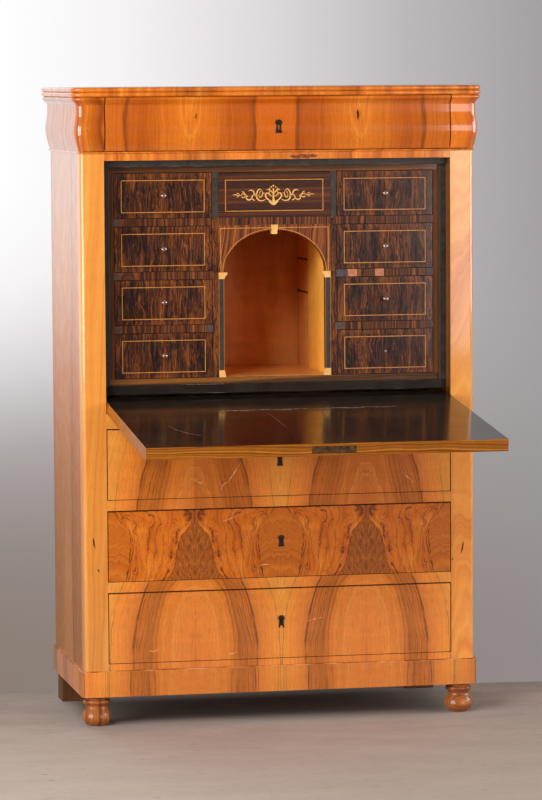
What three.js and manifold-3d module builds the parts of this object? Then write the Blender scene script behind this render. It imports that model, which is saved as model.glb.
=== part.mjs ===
// Fall front secretaire: a walnut carcass on turned feet with three long drawers, a drop
// front that opens to a writing surface, a fitted interior round an arched niche, and a
// drawer hidden in the swelling frieze under the cornice.
// Millimetres, +Z up, the front towards -Y. The origin is on the floor, under the middle
// of the whole object with its drop front open.
import * as THREE from "three";
import { mergeVertices } from "three/addons/utils/BufferGeometryUtils.js";
import Module from "manifold-3d";

const wasm = await Module();
wasm.setup();

// Carcass
const CARCASS_WIDTH = 970;
const CARCASS_DEPTH = 482;
const SIDE_THICKNESS = 22;
const STILE_WIDTH = 58;
const STILE_DEPTH = 42;
const CORNER_RADIUS = 11;
const BACK_THICKNESS = 22;
const BACK_INSET = 8;
const BACK_RAIL_WIDTH = 85;
const BACK_FIELD_DEPTH = 7;

// Heights, from the floor up
const FOOT_HEIGHT = 72.4;
const PLINTH_HEIGHT = 63.7;
const BASE_RAIL_HEIGHT = 16.1;
const DRAWER_OPENING_HEIGHT = 173.4;
const RAIL_HEIGHT = 25.6;
const FALL_RAIL_HEIGHT = 35.8;
const FALL_HEIGHT = 609.1;
const HEAD_RAIL_HEIGHT = 16.8;
const ASTRAGAL_HEIGHT = 5.7;
const FRIEZE_HEIGHT = 130.1;
const CORNICE_HEIGHT = 22.9;

// Mouldings, by how far they stand out from the carcass
const PLINTH_PROUD = 7.5;
const PLINTH_ARRIS = 1.6;
const PLINTH_WALL = 20;
const CORNER_BLOCK = 48;
const ASTRAGAL_PROUD = 5;
const FRIEZE_TOE_PROUD = 2;
const FRIEZE_BELLY_PROUD = 12.5;
const FRIEZE_NECK_PROUD = 7.5;
const FRIEZE_COVE_PROUD = 16.5;
const FRIEZE_BEAD_PROUD = 19.5;
const CORNICE_PROUD = 21.5;
// Where the frieze's outline turns, as shares of its height: belly, neck, cove, bead
const FRIEZE_TURN_SHARES = [0.385, 0.72, 0.82, 0.92];

// Feet: the outline is radius and height, as shares of the two sizes they follow
const FOOT_RADIUS = 35.5;
const FOOT_INSET = 32;
const FOOT_SETBACK = 30;
const FOOT_OUTLINE_SHARES = [
  [0.55, 0],
  [0.76, 0.08],
  [0.96, 0.2],
  [1, 0.3],
  [0.95, 0.42],
  [0.8, 0.55],
  [0.735, 0.64],
  [0.78, 0.72],
  [0.9, 0.77],
  [0.92, 0.83],
  [0.89, 0.88],
  [0.76, 0.9],
  [0.76, 1],
];
const REAR_FOOT_SIZE = 74;
const REAR_FOOT_INSET = 4;

// Boards between the drawers, and the battens on the side panels that guide the drawers
const DUST_BOARD_THICKNESS = 8;
const BATTEN_HEIGHT = 20;

// Long drawers
const DRAWER_SIDE_GAP = 1;
const DRAWER_TOP_GAP = 1.9;
const RUN_GAP = 0.3;
const FRONT_THICKNESS = 22;
const BOX_WALL = 12;
const BOX_BOTTOM = 7;
const BOX_BOTTOM_RAISE = 5;
const BOX_DROP = 10;
const BOX_BACK_GAP = 12;

// Drop front, its pivots and its lock
const FLAP_THICKNESS = 29;
const FLAP_SIDE_GAP = 1.2;
const FLAP_TOP_GAP = 1;
const FLAP_BOTTOM_GAP = 1.5;
const FLAP_OPEN_ANGLE = THREE.MathUtils.degToRad(96.2);
const FLAP_SEAT_GAP = 0.3;
const FLAP_TOE_ROUND = 6;
const PIVOT_COVER = 5;
const PIVOT_PIN_RADIUS = 4;
const PIVOT_CLEARANCE = 0.08;
const PIVOT_PIN_LENGTH = 11;
const PIVOT_PLATE_LENGTH = 62;
const PIVOT_PLATE_WIDTH = 14;
const PIVOT_PLATE_THICKNESS = 3;
const PIVOT_PLATE_BELOW = 9;
const SWEEP_CLEARANCE = 0.8;
const HINGE_PLATE_HEIGHT = 40;
const HINGE_PLATE_WIDTH = 18;
const HINGE_PLATE_THICKNESS = 3;
const LOCK_PLATE_LENGTH = 104;
const LOCK_PLATE_WIDTH = 16;
const LOCK_PLATE_THICKNESS = 2.5;
const LOCK_OFFSET = 13;
const LOCK_CASE_LENGTH = 78;
const LOCK_CASE_WIDTH = 12;
const LOCK_CASE_DEPTH = 48;
const BOLT_LENGTH = 26;
const BOLT_WIDTH = 6;
const BOLT_DEPTH = 22;
const BOLT_CLEARANCE = 0.4;
const BOLT_THROW = 8;
const FIT_GAP = 0.3;

// Fitted interior
const DECK_RISE = 42.6;
const DECK_THICKNESS = 22;
const HEAD_DROP = 16.2;
const HEAD_BOARD_THICKNESS = 22;
const WELL_STRIP_WIDTH = 18;
const WELL_STRIP_DEPTH = 18;
const WELL_STRIP_LAP = 18;
const CASE_SETBACK = 11;
const CASE_BOARD = 14.7;
const CASE_SIDE = 12.5;
const DIVIDER_THICKNESS = 14.5;
const CENTRE_HALF_WIDTH = 139.5;
const INNER_RAIL = 18.3;
const INNER_ROWS = 4;
const INNER_GAP = 0.6;
const INNER_FRONT = 10;
const INNER_WALL = 6;
const INNER_BOTTOM = 4;
const INNER_BOX_DROP = 5;
const INNER_BACK_GAP = 18;
const DADO_HEIGHT = 5.5;
const DADO_DEPTH = 3;
const DADO_START = 316;
// The two shelf grooves in the niche, as shares of the niche's height
const DADO_SHARES = [0.507, 0.73];

// Arched panel in front of the niche
const ARCH_THICKNESS = 18;
const PILASTER_WIDTH = 13.5;
const PILASTER_BASE_HEIGHT = 17;
const PILASTER_BASE_SPREAD = 4;
const IMPOST_HEIGHT = 15.6;
const IMPOST_REACH = 8.5;
const ARCH_RISE = 102;
const CROWN_MARGIN = 12.7;
const KEYSTONE_DROP = 10;
const KEYSTONE_HALF = 6.5;
// An impost's outline: how far it reaches into the opening and its height, as shares
const IMPOST_OUTLINE_SHARES = [
  [0.12, 0],
  [0.45, 0.4],
  [1, 0.78],
  [1, 1],
];

// Knobs: the outline is radius and length, as shares of the two sizes they follow
const KNOB_RADIUS = 6.6;
const KNOB_LENGTH = 18;
const KNOB_STUB_LENGTH = 4.5;
const KNOB_STUB_RADIUS = 4;
const KNOB_OUTLINE_SHARES = [
  [0.8, 0],
  [0.74, 0.1],
  [0.4, 0.22],
  [0.4, 0.42],
  [0.75, 0.52],
  [1, 0.7],
  [0.9, 0.86],
  [0.5, 0.98],
  [0, 1],
];
const KNOB_STUB_SHARES = [
  [1, 0],
  [0.9, 1],
];

// How finely round work is faceted
const CORNER_STEPS = 5;
const BEAD_STEPS = 6;
const CURVE_STEPS = 6;
const ARCH_STEPS = 28;
const TURNED_STEPS = 28;
const PIN_STEPS = 24;
const OVERRUN = 5;

// Places worked out from the sizes above
const halfWidth = CARCASS_WIDTH / 2;
const openingHalf = halfWidth - STILE_WIDTH;
const innerHalf = halfWidth - SIDE_THICKNESS;
const backFace = CARCASS_DEPTH - BACK_INSET - BACK_THICKNESS;
const zPlinth = FOOT_HEIGHT;
const zBase = zPlinth + PLINTH_HEIGHT;
const zDrawers = zBase + BASE_RAIL_HEIGHT;
const drawerPitch = DRAWER_OPENING_HEIGHT + RAIL_HEIGHT;
const zDrawerC = zDrawers;
const zDrawerB = zDrawerC + drawerPitch;
const zDrawerA = zDrawerB + drawerPitch;
const zFallRail = zDrawerA + DRAWER_OPENING_HEIGHT;
const zFall = zFallRail + FALL_RAIL_HEIGHT;
const zHeadRail = zFall + FALL_HEIGHT;
const zAstragal = zHeadRail + HEAD_RAIL_HEIGHT;
const zFrieze = zAstragal + ASTRAGAL_HEIGHT;
const zCornice = zFrieze + FRIEZE_HEIGHT;

// The open drop front bears on the front arris of the rail below it, which sets how high
// its pivots are.
const flapHalf = openingHalf - FLAP_SIDE_GAP;
const pivotY = FLAP_THICKNESS - PIVOT_COVER;
const pivotZ = zFall + FLAP_SEAT_GAP + pivotY * Math.tan(FLAP_OPEN_ANGLE / 2);
const flapBelow = pivotZ - zFall - FLAP_BOTTOM_GAP;
const flapAbove = zHeadRail - FLAP_TOP_GAP - pivotZ;
const toeCentreY = pivotY - FLAP_TOE_ROUND;
const toeCentreZ = flapBelow - FLAP_TOE_ROUND;
const toeReach = Math.hypot(toeCentreY, toeCentreZ) + FLAP_TOE_ROUND;
const flapTipY =
  pivotY + PIVOT_COVER * Math.cos(FLAP_OPEN_ANGLE) - flapAbove * Math.sin(FLAP_OPEN_ANGLE);
const originY = (flapTipY + CARCASS_DEPTH) / 2;

// Fitted interior
const zDeck = zFall + DECK_RISE;
const zDeckTop = zDeck + DECK_THICKNESS;
const zHeadBoard = zHeadRail - HEAD_DROP;
const zCaseFloor = zDeckTop + CASE_BOARD;
const zCaseCeiling = zHeadBoard - CASE_BOARD;
const caseHalf = openingHalf - WELL_STRIP_WIDTH;
const bayOuter = caseHalf - CASE_SIDE;
const bayInner = CENTRE_HALF_WIDTH + DIVIDER_THICKNESS;
const caseFront = STILE_DEPTH + CASE_SETBACK;
const rowGaps = INNER_ROWS - 1;
const rowHeight = (zCaseCeiling - zCaseFloor - rowGaps * INNER_RAIL) / INNER_ROWS;
const rowPitch = rowHeight + INNER_RAIL;
const zCentreShelf = zCaseFloor + rowGaps * rowPitch - INNER_RAIL;
const nicheHeight = zCentreShelf - zCaseFloor;

const walnut = finish(0xc8701f, 0.3);
const paleWalnut = finish(0xe0954a, 0.3);
const oldWalnut = finish(0xa5744f, 0.4);
const ebonised = finish(0x17171a, 0.18);
const rosewood = finish(0x5a2a17, 0.3);
const pine = finish(0xb8834f, 0.6);
const oak = finish(0x9c7a4e, 0.6);
const darkOak = finish(0x4a3423, 0.8);
const brass = finish(0xb59143, 0.35, 1);
const iron = finish(0x3a3833, 0.5, 1);
const bone = finish(0x8d8791, 0.3);

function finish(color, roughness, metalness = 0) {
  return new THREE.MeshStandardMaterial({ color, roughness, metalness });
}

// Solids and their joins and cuts

function solidOf(geometry) {
  const plain = geometry.index ? geometry.toNonIndexed() : geometry.clone();
  plain.deleteAttribute("normal");
  plain.deleteAttribute("uv");
  const merged = mergeVertices(plain);
  return new wasm.Manifold(
    new wasm.Mesh({
      numProp: 3,
      vertProperties: merged.attributes.position.array,
      triVerts: new Uint32Array(merged.index.array),
    }),
  );
}

function geometryOf(solid) {
  const mesh = solid.getMesh();
  const geometry = new THREE.BufferGeometry();
  geometry.setAttribute("position", new THREE.BufferAttribute(mesh.vertProperties, 3));
  geometry.setIndex(new THREE.BufferAttribute(mesh.triVerts, 1));
  return geometry;
}

function joined(...geometries) {
  return geometryOf(geometries.map(solidOf).reduce((all, next) => all.add(next)));
}

function cut(geometry, ...tools) {
  const start = solidOf(geometry);
  return geometryOf(tools.map(solidOf).reduce((left, tool) => left.subtract(tool), start));
}

function shared(geometry, other) {
  return geometryOf(solidOf(geometry).intersect(solidOf(other)));
}

// A box between two corners, which its vertices meet exactly.
function block(x0, x1, y0, y1, z0, z1) {
  const box = new THREE.BoxGeometry();
  const place = box.attributes.position;
  for (let corner = 0; corner < place.count; corner += 1) {
    place.setXYZ(
      corner,
      place.getX(corner) < 0 ? x0 : x1,
      place.getY(corner) < 0 ? y0 : y1,
      place.getZ(corner) < 0 ? z0 : z1,
    );
  }
  return box;
}

// An outline of [a, b] points pushed along one axis, from one place to another.
function pushed(points, axis, from, to) {
  const shape = new THREE.Shape(points.map(([a, b]) => new THREE.Vector2(a, b)));
  const depth = to - from;
  const solid = new THREE.ExtrudeGeometry(shape, { depth, bevelEnabled: false });
  if (axis === "x") {
    solid.applyMatrix4(
      new THREE.Matrix4().makeBasis(
        new THREE.Vector3(0, 1, 0),
        new THREE.Vector3(0, 0, 1),
        new THREE.Vector3(1, 0, 0),
      ),
    );
    return solid.translate(from, 0, 0);
  }
  if (axis === "y") {
    solid.rotateX(Math.PI / 2);
    return solid.translate(0, to, 0);
  }
  return solid.translate(0, 0, from);
}

// A pin along X between two places, about the axis through y and z.
function pinX(radius, x0, x1, y, z) {
  const pin = new THREE.CylinderGeometry(radius, radius, x1 - x0, PIN_STEPS);
  return pin.rotateZ(Math.PI / 2).translate((x0 + x1) / 2, y, z);
}

// Turned work: an outline of radius and height shares, spun about +Z from the origin.
function turned(shares, radius, height) {
  const points = shares.map(([r, h]) => new THREE.Vector2(r * radius, h * height));
  if (points[0].x > 0) points.unshift(new THREE.Vector2(0, points[0].y));
  const last = points[points.length - 1];
  if (last.x > 0) points.push(new THREE.Vector2(0, last.y));
  return new THREE.LatheGeometry(points, TURNED_STEPS).rotateX(Math.PI / 2);
}

// The carcass's plan at some distance outside it: back left, round the two front
// corners, back right.
function planOutline(proud) {
  const radius = CORNER_RADIUS + proud;
  const points = [[-halfWidth - proud, CARCASS_DEPTH]];
  for (const side of [-1, 1]) {
    for (let step = 0; step <= CORNER_STEPS; step += 1) {
      const turn = (step / CORNER_STEPS) * (Math.PI / 2);
      const angle = side < 0 ? Math.PI + turn : -Math.PI / 2 + turn;
      points.push([
        side * (halfWidth - CORNER_RADIUS) + radius * Math.cos(angle),
        CORNER_RADIUS + radius * Math.sin(angle),
      ]);
    }
  }
  points.push([halfWidth + proud, CARCASS_DEPTH]);
  return points;
}

// A moulding that runs round the front and both sides: one plan outline at each height,
// joined by faces, with flat ends at the bottom, the top and the back.
function moulding(levels) {
  const rings = levels.map(([z, proud]) => planOutline(proud).map(([x, y]) => [x, y, z]));
  const count = rings[0].length;
  const positions = rings.flat(2);
  const faces = [];
  for (let level = 0; level + 1 < rings.length; level += 1) {
    for (let step = 0; step < count; step += 1) {
      const a = level * count + step;
      const b = level * count + ((step + 1) % count);
      faces.push(a, b, b + count, a, b + count, a + count);
    }
  }
  const top = (rings.length - 1) * count;
  for (let step = 1; step + 1 < count; step += 1) {
    faces.push(0, step + 1, step);
    faces.push(top, top + step, top + step + 1);
  }
  const geometry = new THREE.BufferGeometry();
  geometry.setAttribute("position", new THREE.Float32BufferAttribute(positions, 3));
  geometry.setIndex(faces);
  return geometry;
}

// A half round bead: [height, proud] pairs from its bottom to its top.
function bead(bottom, height, proud) {
  const radius = height / 2;
  return Array.from({ length: BEAD_STEPS + 1 }, (_, step) => {
    const angle = (step / BEAD_STEPS - 1 / 2) * Math.PI;
    return [bottom + radius * (1 + Math.sin(angle)), proud - radius * (1 - Math.cos(angle))];
  });
}

// The frieze's swelling outline, [height, proud], from its toe to the bead under the
// cornice.
function friezeOutline() {
  const [belly, neck, cove, top] = FRIEZE_TURN_SHARES;
  const at = (share, proud) => [zFrieze + share * FRIEZE_HEIGHT, proud];
  const points = [];
  for (let step = 0; step < CURVE_STEPS; step += 1) {
    const turn = (step / CURVE_STEPS) * (Math.PI / 2);
    const rise = FRIEZE_BELLY_PROUD - FRIEZE_TOE_PROUD;
    points.push(at((belly * step) / CURVE_STEPS, FRIEZE_TOE_PROUD + rise * Math.sin(turn)));
  }
  for (let step = 0; step < CURVE_STEPS; step += 1) {
    const share = step / CURVE_STEPS;
    const fall = ((FRIEZE_BELLY_PROUD - FRIEZE_NECK_PROUD) * (1 - Math.cos(Math.PI * share))) / 2;
    points.push(at(belly + (neck - belly) * share, FRIEZE_BELLY_PROUD - fall));
  }
  points.push(at(neck, FRIEZE_NECK_PROUD));
  for (let step = 0; step <= CURVE_STEPS; step += 1) {
    const share = step / CURVE_STEPS;
    const flare = (FRIEZE_COVE_PROUD - FRIEZE_NECK_PROUD) * (1 - Math.cos((Math.PI / 2) * share));
    points.push(at(cove + (top - cove) * share, FRIEZE_NECK_PROUD + flare));
  }
  const beadHeight = (1 - top) * FRIEZE_HEIGHT;
  const beadPoints = bead(zCornice - beadHeight, beadHeight, FRIEZE_BEAD_PROUD);
  return points.concat(beadPoints.slice(1));
}

// Pieces

const secretaire = new THREE.Group();
secretaire.position.y = -originY;

function add(name, geometry, material, parent = secretaire) {
  const mesh = new THREE.Mesh(geometry, material);
  mesh.name = name;
  parent.add(mesh);
  return mesh;
}

function addPair(name, geometry, material, parent = secretaire) {
  add(`${name}_right`, geometry, material, parent);
  add(`${name}_left`, mirrored(geometry), material, parent);
}

// The other hand of a piece, with its faces turned to point outwards again.
function mirrored(geometry) {
  const other = geometry.index ? geometry.toNonIndexed() : geometry.clone();
  other.deleteAttribute("normal");
  other.scale(-1, 1, 1);
  const place = other.attributes.position;
  for (let corner = 0; corner < place.count; corner += 3) {
    for (let axis = 0; axis < 3; axis += 1) {
      const kept = place.getComponent(corner, axis);
      place.setComponent(corner, axis, place.getComponent(corner + 1, axis));
      place.setComponent(corner + 1, axis, kept);
    }
  }
  return other;
}

// The rebate that every piece leaves at the back for the back panel.
function backRebate() {
  const edge = innerHalf + FIT_GAP;
  return block(-edge, edge, backFace - FIT_GAP, CARCASS_DEPTH + OVERRUN, zBase, zCornice);
}

function buildShell() {
  const panel = block(innerHalf, halfWidth, STILE_DEPTH, CARCASS_DEPTH, zBase, zAstragal);
  const battens = [zDrawerC, zDrawerB, zDrawerA].map((low) =>
    block(openingHalf, innerHalf, STILE_DEPTH, backFace, low, low + BATTEN_HEIGHT),
  );
  addPair("side_panel", joined(panel, ...battens), oldWalnut);
  const corner = [];
  for (let step = 0; step <= CORNER_STEPS; step += 1) {
    const angle = -Math.PI / 2 + (step / CORNER_STEPS) * (Math.PI / 2);
    corner.push([
      halfWidth - CORNER_RADIUS + CORNER_RADIUS * Math.cos(angle),
      CORNER_RADIUS + CORNER_RADIUS * Math.sin(angle),
    ]);
  }
  const stile = pushed(
    [[openingHalf, 0], ...corner, [halfWidth, STILE_DEPTH], [openingHalf, STILE_DEPTH]],
    "z",
    zBase,
    zAstragal,
  );
  const boreRadius = PIVOT_PIN_RADIUS + PIVOT_CLEARANCE;
  const boreEnd = openingHalf + PIVOT_PIN_LENGTH + FIT_GAP;
  const bore = pinX(boreRadius, openingHalf - OVERRUN, boreEnd, pivotY, pivotZ);
  addPair("stile", cut(stile, bore, hingePlate(FIT_GAP)), paleWalnut);
  addPair("hinge_plate", cut(hingePlate(0), bore), brass);

  const back = block(
    -innerHalf,
    innerHalf,
    backFace,
    backFace + BACK_THICKNESS,
    zBase,
    zCornice,
  );
  add("back_panel", cut(back, ...backFields()), pine);
}

// The brass plate let into a stile, which the drop front's pin turns in. It is grown by a
// clearance where it cuts its own recess.
function hingePlate(grow) {
  return block(
    openingHalf - (grow > 0 ? OVERRUN : 0),
    openingHalf + HINGE_PLATE_THICKNESS + grow,
    pivotY - HINGE_PLATE_WIDTH / 2 - grow,
    pivotY + HINGE_PLATE_WIDTH / 2 + grow,
    pivotZ - HINGE_PLATE_HEIGHT / 2 - grow,
    pivotZ + HINGE_PLATE_HEIGHT / 2 + grow,
  );
}

// Four sunk fields in the framed back.
function backFields() {
  const back = backFace + BACK_THICKNESS;
  const fieldHeight = (zCornice - zBase - 3 * BACK_RAIL_WIDTH) / 2;
  const fields = [];
  for (const side of [-1, 1]) {
    for (const row of [0, 1]) {
      const low = zBase + BACK_RAIL_WIDTH + row * (fieldHeight + BACK_RAIL_WIDTH);
      const near = (side * BACK_RAIL_WIDTH) / 2;
      const far = side * (innerHalf - BACK_RAIL_WIDTH);
      fields.push(
        block(
          Math.min(near, far),
          Math.max(near, far),
          back - BACK_FIELD_DEPTH,
          back + OVERRUN,
          low,
          low + fieldHeight,
        ),
      );
    }
  }
  return fields;
}

function buildPlinthAndFeet() {
  const plinth = moulding([
    [zPlinth, PLINTH_PROUD],
    [zBase - PLINTH_ARRIS, PLINTH_PROUD],
    [zBase, PLINTH_PROUD - PLINTH_ARRIS],
  ]);
  const hollow = halfWidth + PLINTH_PROUD - PLINTH_WALL;
  const inside = block(
    -hollow,
    hollow,
    PLINTH_WALL - PLINTH_PROUD,
    CARCASS_DEPTH - PLINTH_WALL,
    zPlinth - OVERRUN,
    zBase + OVERRUN,
  );
  const blockHalf = hollow - CORNER_BLOCK;
  const cornerBlocks = [
    [PLINTH_WALL - PLINTH_PROUD, PLINTH_WALL - PLINTH_PROUD + CORNER_BLOCK],
    [CARCASS_DEPTH - PLINTH_WALL - CORNER_BLOCK, CARCASS_DEPTH - PLINTH_WALL],
  ].flatMap(([near, far]) => [
    block(-hollow, -blockHalf, near, far, zPlinth, zBase),
    block(blockHalf, hollow, near, far, zPlinth, zBase),
  ]);
  add("plinth", joined(cut(plinth, inside), ...cornerBlocks), walnut);

  const frontFoot = turned(FOOT_OUTLINE_SHARES, FOOT_RADIUS, FOOT_HEIGHT);
  frontFoot.translate(halfWidth - FOOT_INSET, FOOT_SETBACK, 0);
  addPair("foot_front", frontFoot, walnut);
  const outer = halfWidth - REAR_FOOT_INSET;
  const rear = CARCASS_DEPTH - REAR_FOOT_INSET;
  addPair(
    "foot_rear",
    block(outer - REAR_FOOT_SIZE, outer, rear - REAR_FOOT_SIZE, rear, 0, zPlinth),
    darkOak,
  );
}

// A front rail between the stiles with the board glued behind it, which a drawer runs on.
function railBoard(bottom, height, boardBottom, boardThickness) {
  return joined(
    block(-openingHalf, openingHalf, 0, STILE_DEPTH, bottom, bottom + height),
    block(
      -innerHalf,
      innerHalf,
      STILE_DEPTH,
      backFace,
      boardBottom,
      boardBottom + boardThickness,
    ),
  );
}

function buildRails() {
  add("bottom_board", railBoard(zBase, BASE_RAIL_HEIGHT, zBase, BASE_RAIL_HEIGHT), walnut);
  const rails = [
    ["dust_board_bc", zDrawerB],
    ["dust_board_ab", zDrawerA],
  ];
  for (const [name, top] of rails) {
    const low = top - DUST_BOARD_THICKNESS;
    add(name, railBoard(top - RAIL_HEIGHT, RAIL_HEIGHT, low, DUST_BOARD_THICKNESS), walnut);
  }

  // The rail under the drop front is hollowed for the toe that swings over it.
  const fallRail = railBoard(zFallRail, FALL_RAIL_HEIGHT, zFallRail, DUST_BOARD_THICKNESS);
  const sweep = toeReach + SWEEP_CLEARANCE;
  const hollow = pinX(sweep, -innerHalf, innerHalf, pivotY, pivotZ);
  add("fall_rail", cut(fallRail, hollow), walnut);
}

// The board over the fitted interior, with the stop that the drop front shuts against.
function buildHeadBoard() {
  const stopFront = FLAP_THICKNESS + FIT_GAP;
  const stop = block(-openingHalf, openingHalf, stopFront, STILE_DEPTH, zHeadBoard, zHeadRail);
  const board = block(
    -innerHalf,
    innerHalf,
    STILE_DEPTH,
    backFace,
    zHeadBoard,
    zHeadBoard + HEAD_BOARD_THICKNESS,
  );
  add("head_board", joined(stop, board), ebonised);
}

// The board under the frieze drawer, with the head rail glued under its front edge and a
// mortise in the rail for the lock's bolt.
function buildAstragal() {
  const astragal = moulding(bead(zAstragal, ASTRAGAL_HEIGHT, ASTRAGAL_PROUD));
  const rail = block(-openingHalf, openingHalf, 0, STILE_DEPTH, zHeadRail, zAstragal);
  const slack = BOLT_CLEARANCE + FIT_GAP;
  const middle = FLAP_THICKNESS / 2;
  const mortise = block(
    LOCK_OFFSET - BOLT_LENGTH / 2 - slack,
    LOCK_OFFSET + BOLT_LENGTH / 2 + slack,
    middle - BOLT_WIDTH / 2 - slack,
    middle + BOLT_WIDTH / 2 + slack,
    zHeadRail - OVERRUN,
    zHeadRail + BOLT_THROW,
  );
  add("astragal_board", cut(joined(astragal, rail), backRebate(), mortise), walnut);
}

function buildTop() {
  const frieze = moulding(friezeOutline());
  const reach = halfWidth + CORNICE_PROUD + OVERRUN;
  const rightEnd = block(
    openingHalf,
    reach,
    -reach,
    CARCASS_DEPTH + OVERRUN,
    zFrieze - OVERRUN,
    zCornice + OVERRUN,
  );
  addPair("frieze_block", cut(shared(frieze, rightEnd), backRebate()), walnut);

  const beadHeight = CORNICE_HEIGHT / 2;
  const lower = bead(zCornice, beadHeight, CORNICE_PROUD);
  const upper = bead(zCornice + beadHeight, beadHeight, CORNICE_PROUD);
  add("cornice_top", moulding([...lower, ...upper.slice(1)]), walnut);
}

// The box of a drawer behind its front: two sides, a back and a bottom let in between.
function drawerBox({ x0, x1, front, back, low, high, wall, bottom, raise }) {
  const outer = block(x0, x1, front, back, low, high);
  const floor = low + raise;
  const inside = block(
    x0 + wall,
    x1 - wall,
    front - OVERRUN,
    back - wall,
    floor + bottom,
    high + OVERRUN,
  );
  const under = block(x0 + wall, x1 - wall, front - OVERRUN, back - wall, low - OVERRUN, floor);
  return cut(outer, inside, under);
}

function longDrawerBox(low, high) {
  const half = openingHalf - DRAWER_SIDE_GAP;
  return drawerBox({
    x0: -half,
    x1: half,
    front: FRONT_THICKNESS,
    back: backFace - BOX_BACK_GAP,
    low,
    high: high - BOX_DROP,
    wall: BOX_WALL,
    bottom: BOX_BOTTOM,
    raise: BOX_BOTTOM_RAISE,
  });
}

function buildLongDrawers() {
  const half = openingHalf - DRAWER_SIDE_GAP;
  const drawers = [
    ["drawer_c", zDrawerC],
    ["drawer_b", zDrawerB],
    ["drawer_a", zDrawerA],
  ];
  for (const [name, floor] of drawers) {
    const low = floor + RUN_GAP;
    const high = floor + DRAWER_OPENING_HEIGHT - DRAWER_TOP_GAP;
    add(`${name}_front`, block(-half, half, 0, FRONT_THICKNESS, low, high), walnut);
    add(`${name}_box`, longDrawerBox(low, high), oak);
  }

  // The frieze drawer's front carries the same swelling outline as the blocks beside it.
  const low = zFrieze + RUN_GAP;
  const high = zCornice - DRAWER_TOP_GAP / 2;
  const face = friezeOutline().map(([z, proud]) => [-proud, z]);
  const swell = pushed(
    [...face, [FRONT_THICKNESS, zCornice], [FRONT_THICKNESS, zFrieze]].reverse(),
    "x",
    -half,
    half,
  );
  const keep = block(
    -half - OVERRUN,
    half + OVERRUN,
    -CORNICE_PROUD - OVERRUN,
    FRONT_THICKNESS + OVERRUN,
    low,
    high,
  );
  add("frieze_drawer_front", shared(swell, keep), walnut);
  add("frieze_drawer_box", longDrawerBox(low, high), oak);
}

// The drop front is built closed, about its own pivots, and then turned open.
function buildFlap() {
  const flap = new THREE.Group();
  flap.position.set(0, pivotY, pivotZ);
  flap.rotation.x = FLAP_OPEN_ANGLE;
  secretaire.add(flap);

  const toe = [];
  for (let step = 0; step <= CORNER_STEPS; step += 1) {
    const angle = Math.PI + (step / CORNER_STEPS) * (Math.PI / 2);
    toe.push([
      -toeCentreY + FLAP_TOE_ROUND * Math.cos(angle),
      -toeCentreZ + FLAP_TOE_ROUND * Math.sin(angle),
    ]);
  }
  const section = [
    ...toe,
    [PIVOT_COVER, -flapBelow],
    [PIVOT_COVER, flapAbove],
    [-pivotY, flapAbove],
  ];
  const board = pushed(section, "x", -flapHalf, flapHalf);
  const plateRecess = pivotPlate(FIT_GAP);
  add(
    "flap_board",
    cut(board, plateRecess, mirrored(plateRecess), lockBody(FIT_GAP)),
    walnut,
    flap,
  );

  const pinStart = flapHalf - PIVOT_PLATE_THICKNESS;
  const pin = pinX(PIVOT_PIN_RADIUS, pinStart, openingHalf + PIVOT_PIN_LENGTH, 0, 0);
  addPair("flap_pivot", joined(pivotPlate(0), pin), brass, flap);

  const slack = BOLT_CLEARANCE;
  const middle = FLAP_THICKNESS / 2 - pivotY;
  const channel = block(
    LOCK_OFFSET - BOLT_LENGTH / 2 - slack,
    LOCK_OFFSET + BOLT_LENGTH / 2 + slack,
    middle - BOLT_WIDTH / 2 - slack,
    middle + BOLT_WIDTH / 2 + slack,
    flapAbove - BOLT_DEPTH - slack,
    flapAbove + OVERRUN,
  );
  add("flap_lock", cut(lockBody(0), channel), iron, flap);
  add(
    "flap_lock_bolt",
    block(
      LOCK_OFFSET - BOLT_LENGTH / 2,
      LOCK_OFFSET + BOLT_LENGTH / 2,
      middle - BOLT_WIDTH / 2,
      middle + BOLT_WIDTH / 2,
      flapAbove - BOLT_DEPTH,
      flapAbove,
    ),
    iron,
    flap,
  );
}

// The brass plate in the end of the drop front. It is grown by a clearance where it cuts
// its own recess.
function pivotPlate(grow) {
  return block(
    flapHalf - PIVOT_PLATE_THICKNESS - grow,
    flapHalf + (grow > 0 ? OVERRUN : 0),
    -PIVOT_PLATE_WIDTH / 2 - grow,
    Math.min(PIVOT_PLATE_WIDTH / 2, PIVOT_COVER) + (grow > 0 ? OVERRUN : 0),
    -PIVOT_PLATE_BELOW - grow,
    PIVOT_PLATE_LENGTH - PIVOT_PLATE_BELOW + grow,
  );
}

// The lock in the free edge of the drop front: its long plate and the case under it.
function lockBody(grow) {
  const middle = FLAP_THICKNESS / 2 - pivotY;
  const top = flapAbove + (grow > 0 ? OVERRUN : 0);
  const plate = block(
    LOCK_OFFSET - LOCK_PLATE_LENGTH / 2 - grow,
    LOCK_OFFSET + LOCK_PLATE_LENGTH / 2 + grow,
    middle - LOCK_PLATE_WIDTH / 2 - grow,
    middle + LOCK_PLATE_WIDTH / 2 + grow,
    flapAbove - LOCK_PLATE_THICKNESS - grow,
    top,
  );
  const box = block(
    LOCK_OFFSET - LOCK_CASE_LENGTH / 2 - grow,
    LOCK_OFFSET + LOCK_CASE_LENGTH / 2 + grow,
    middle - LOCK_CASE_WIDTH / 2 - grow,
    middle + LOCK_CASE_WIDTH / 2 + grow,
    flapAbove - LOCK_CASE_DEPTH - grow,
    top,
  );
  return joined(plate, box);
}

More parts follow.
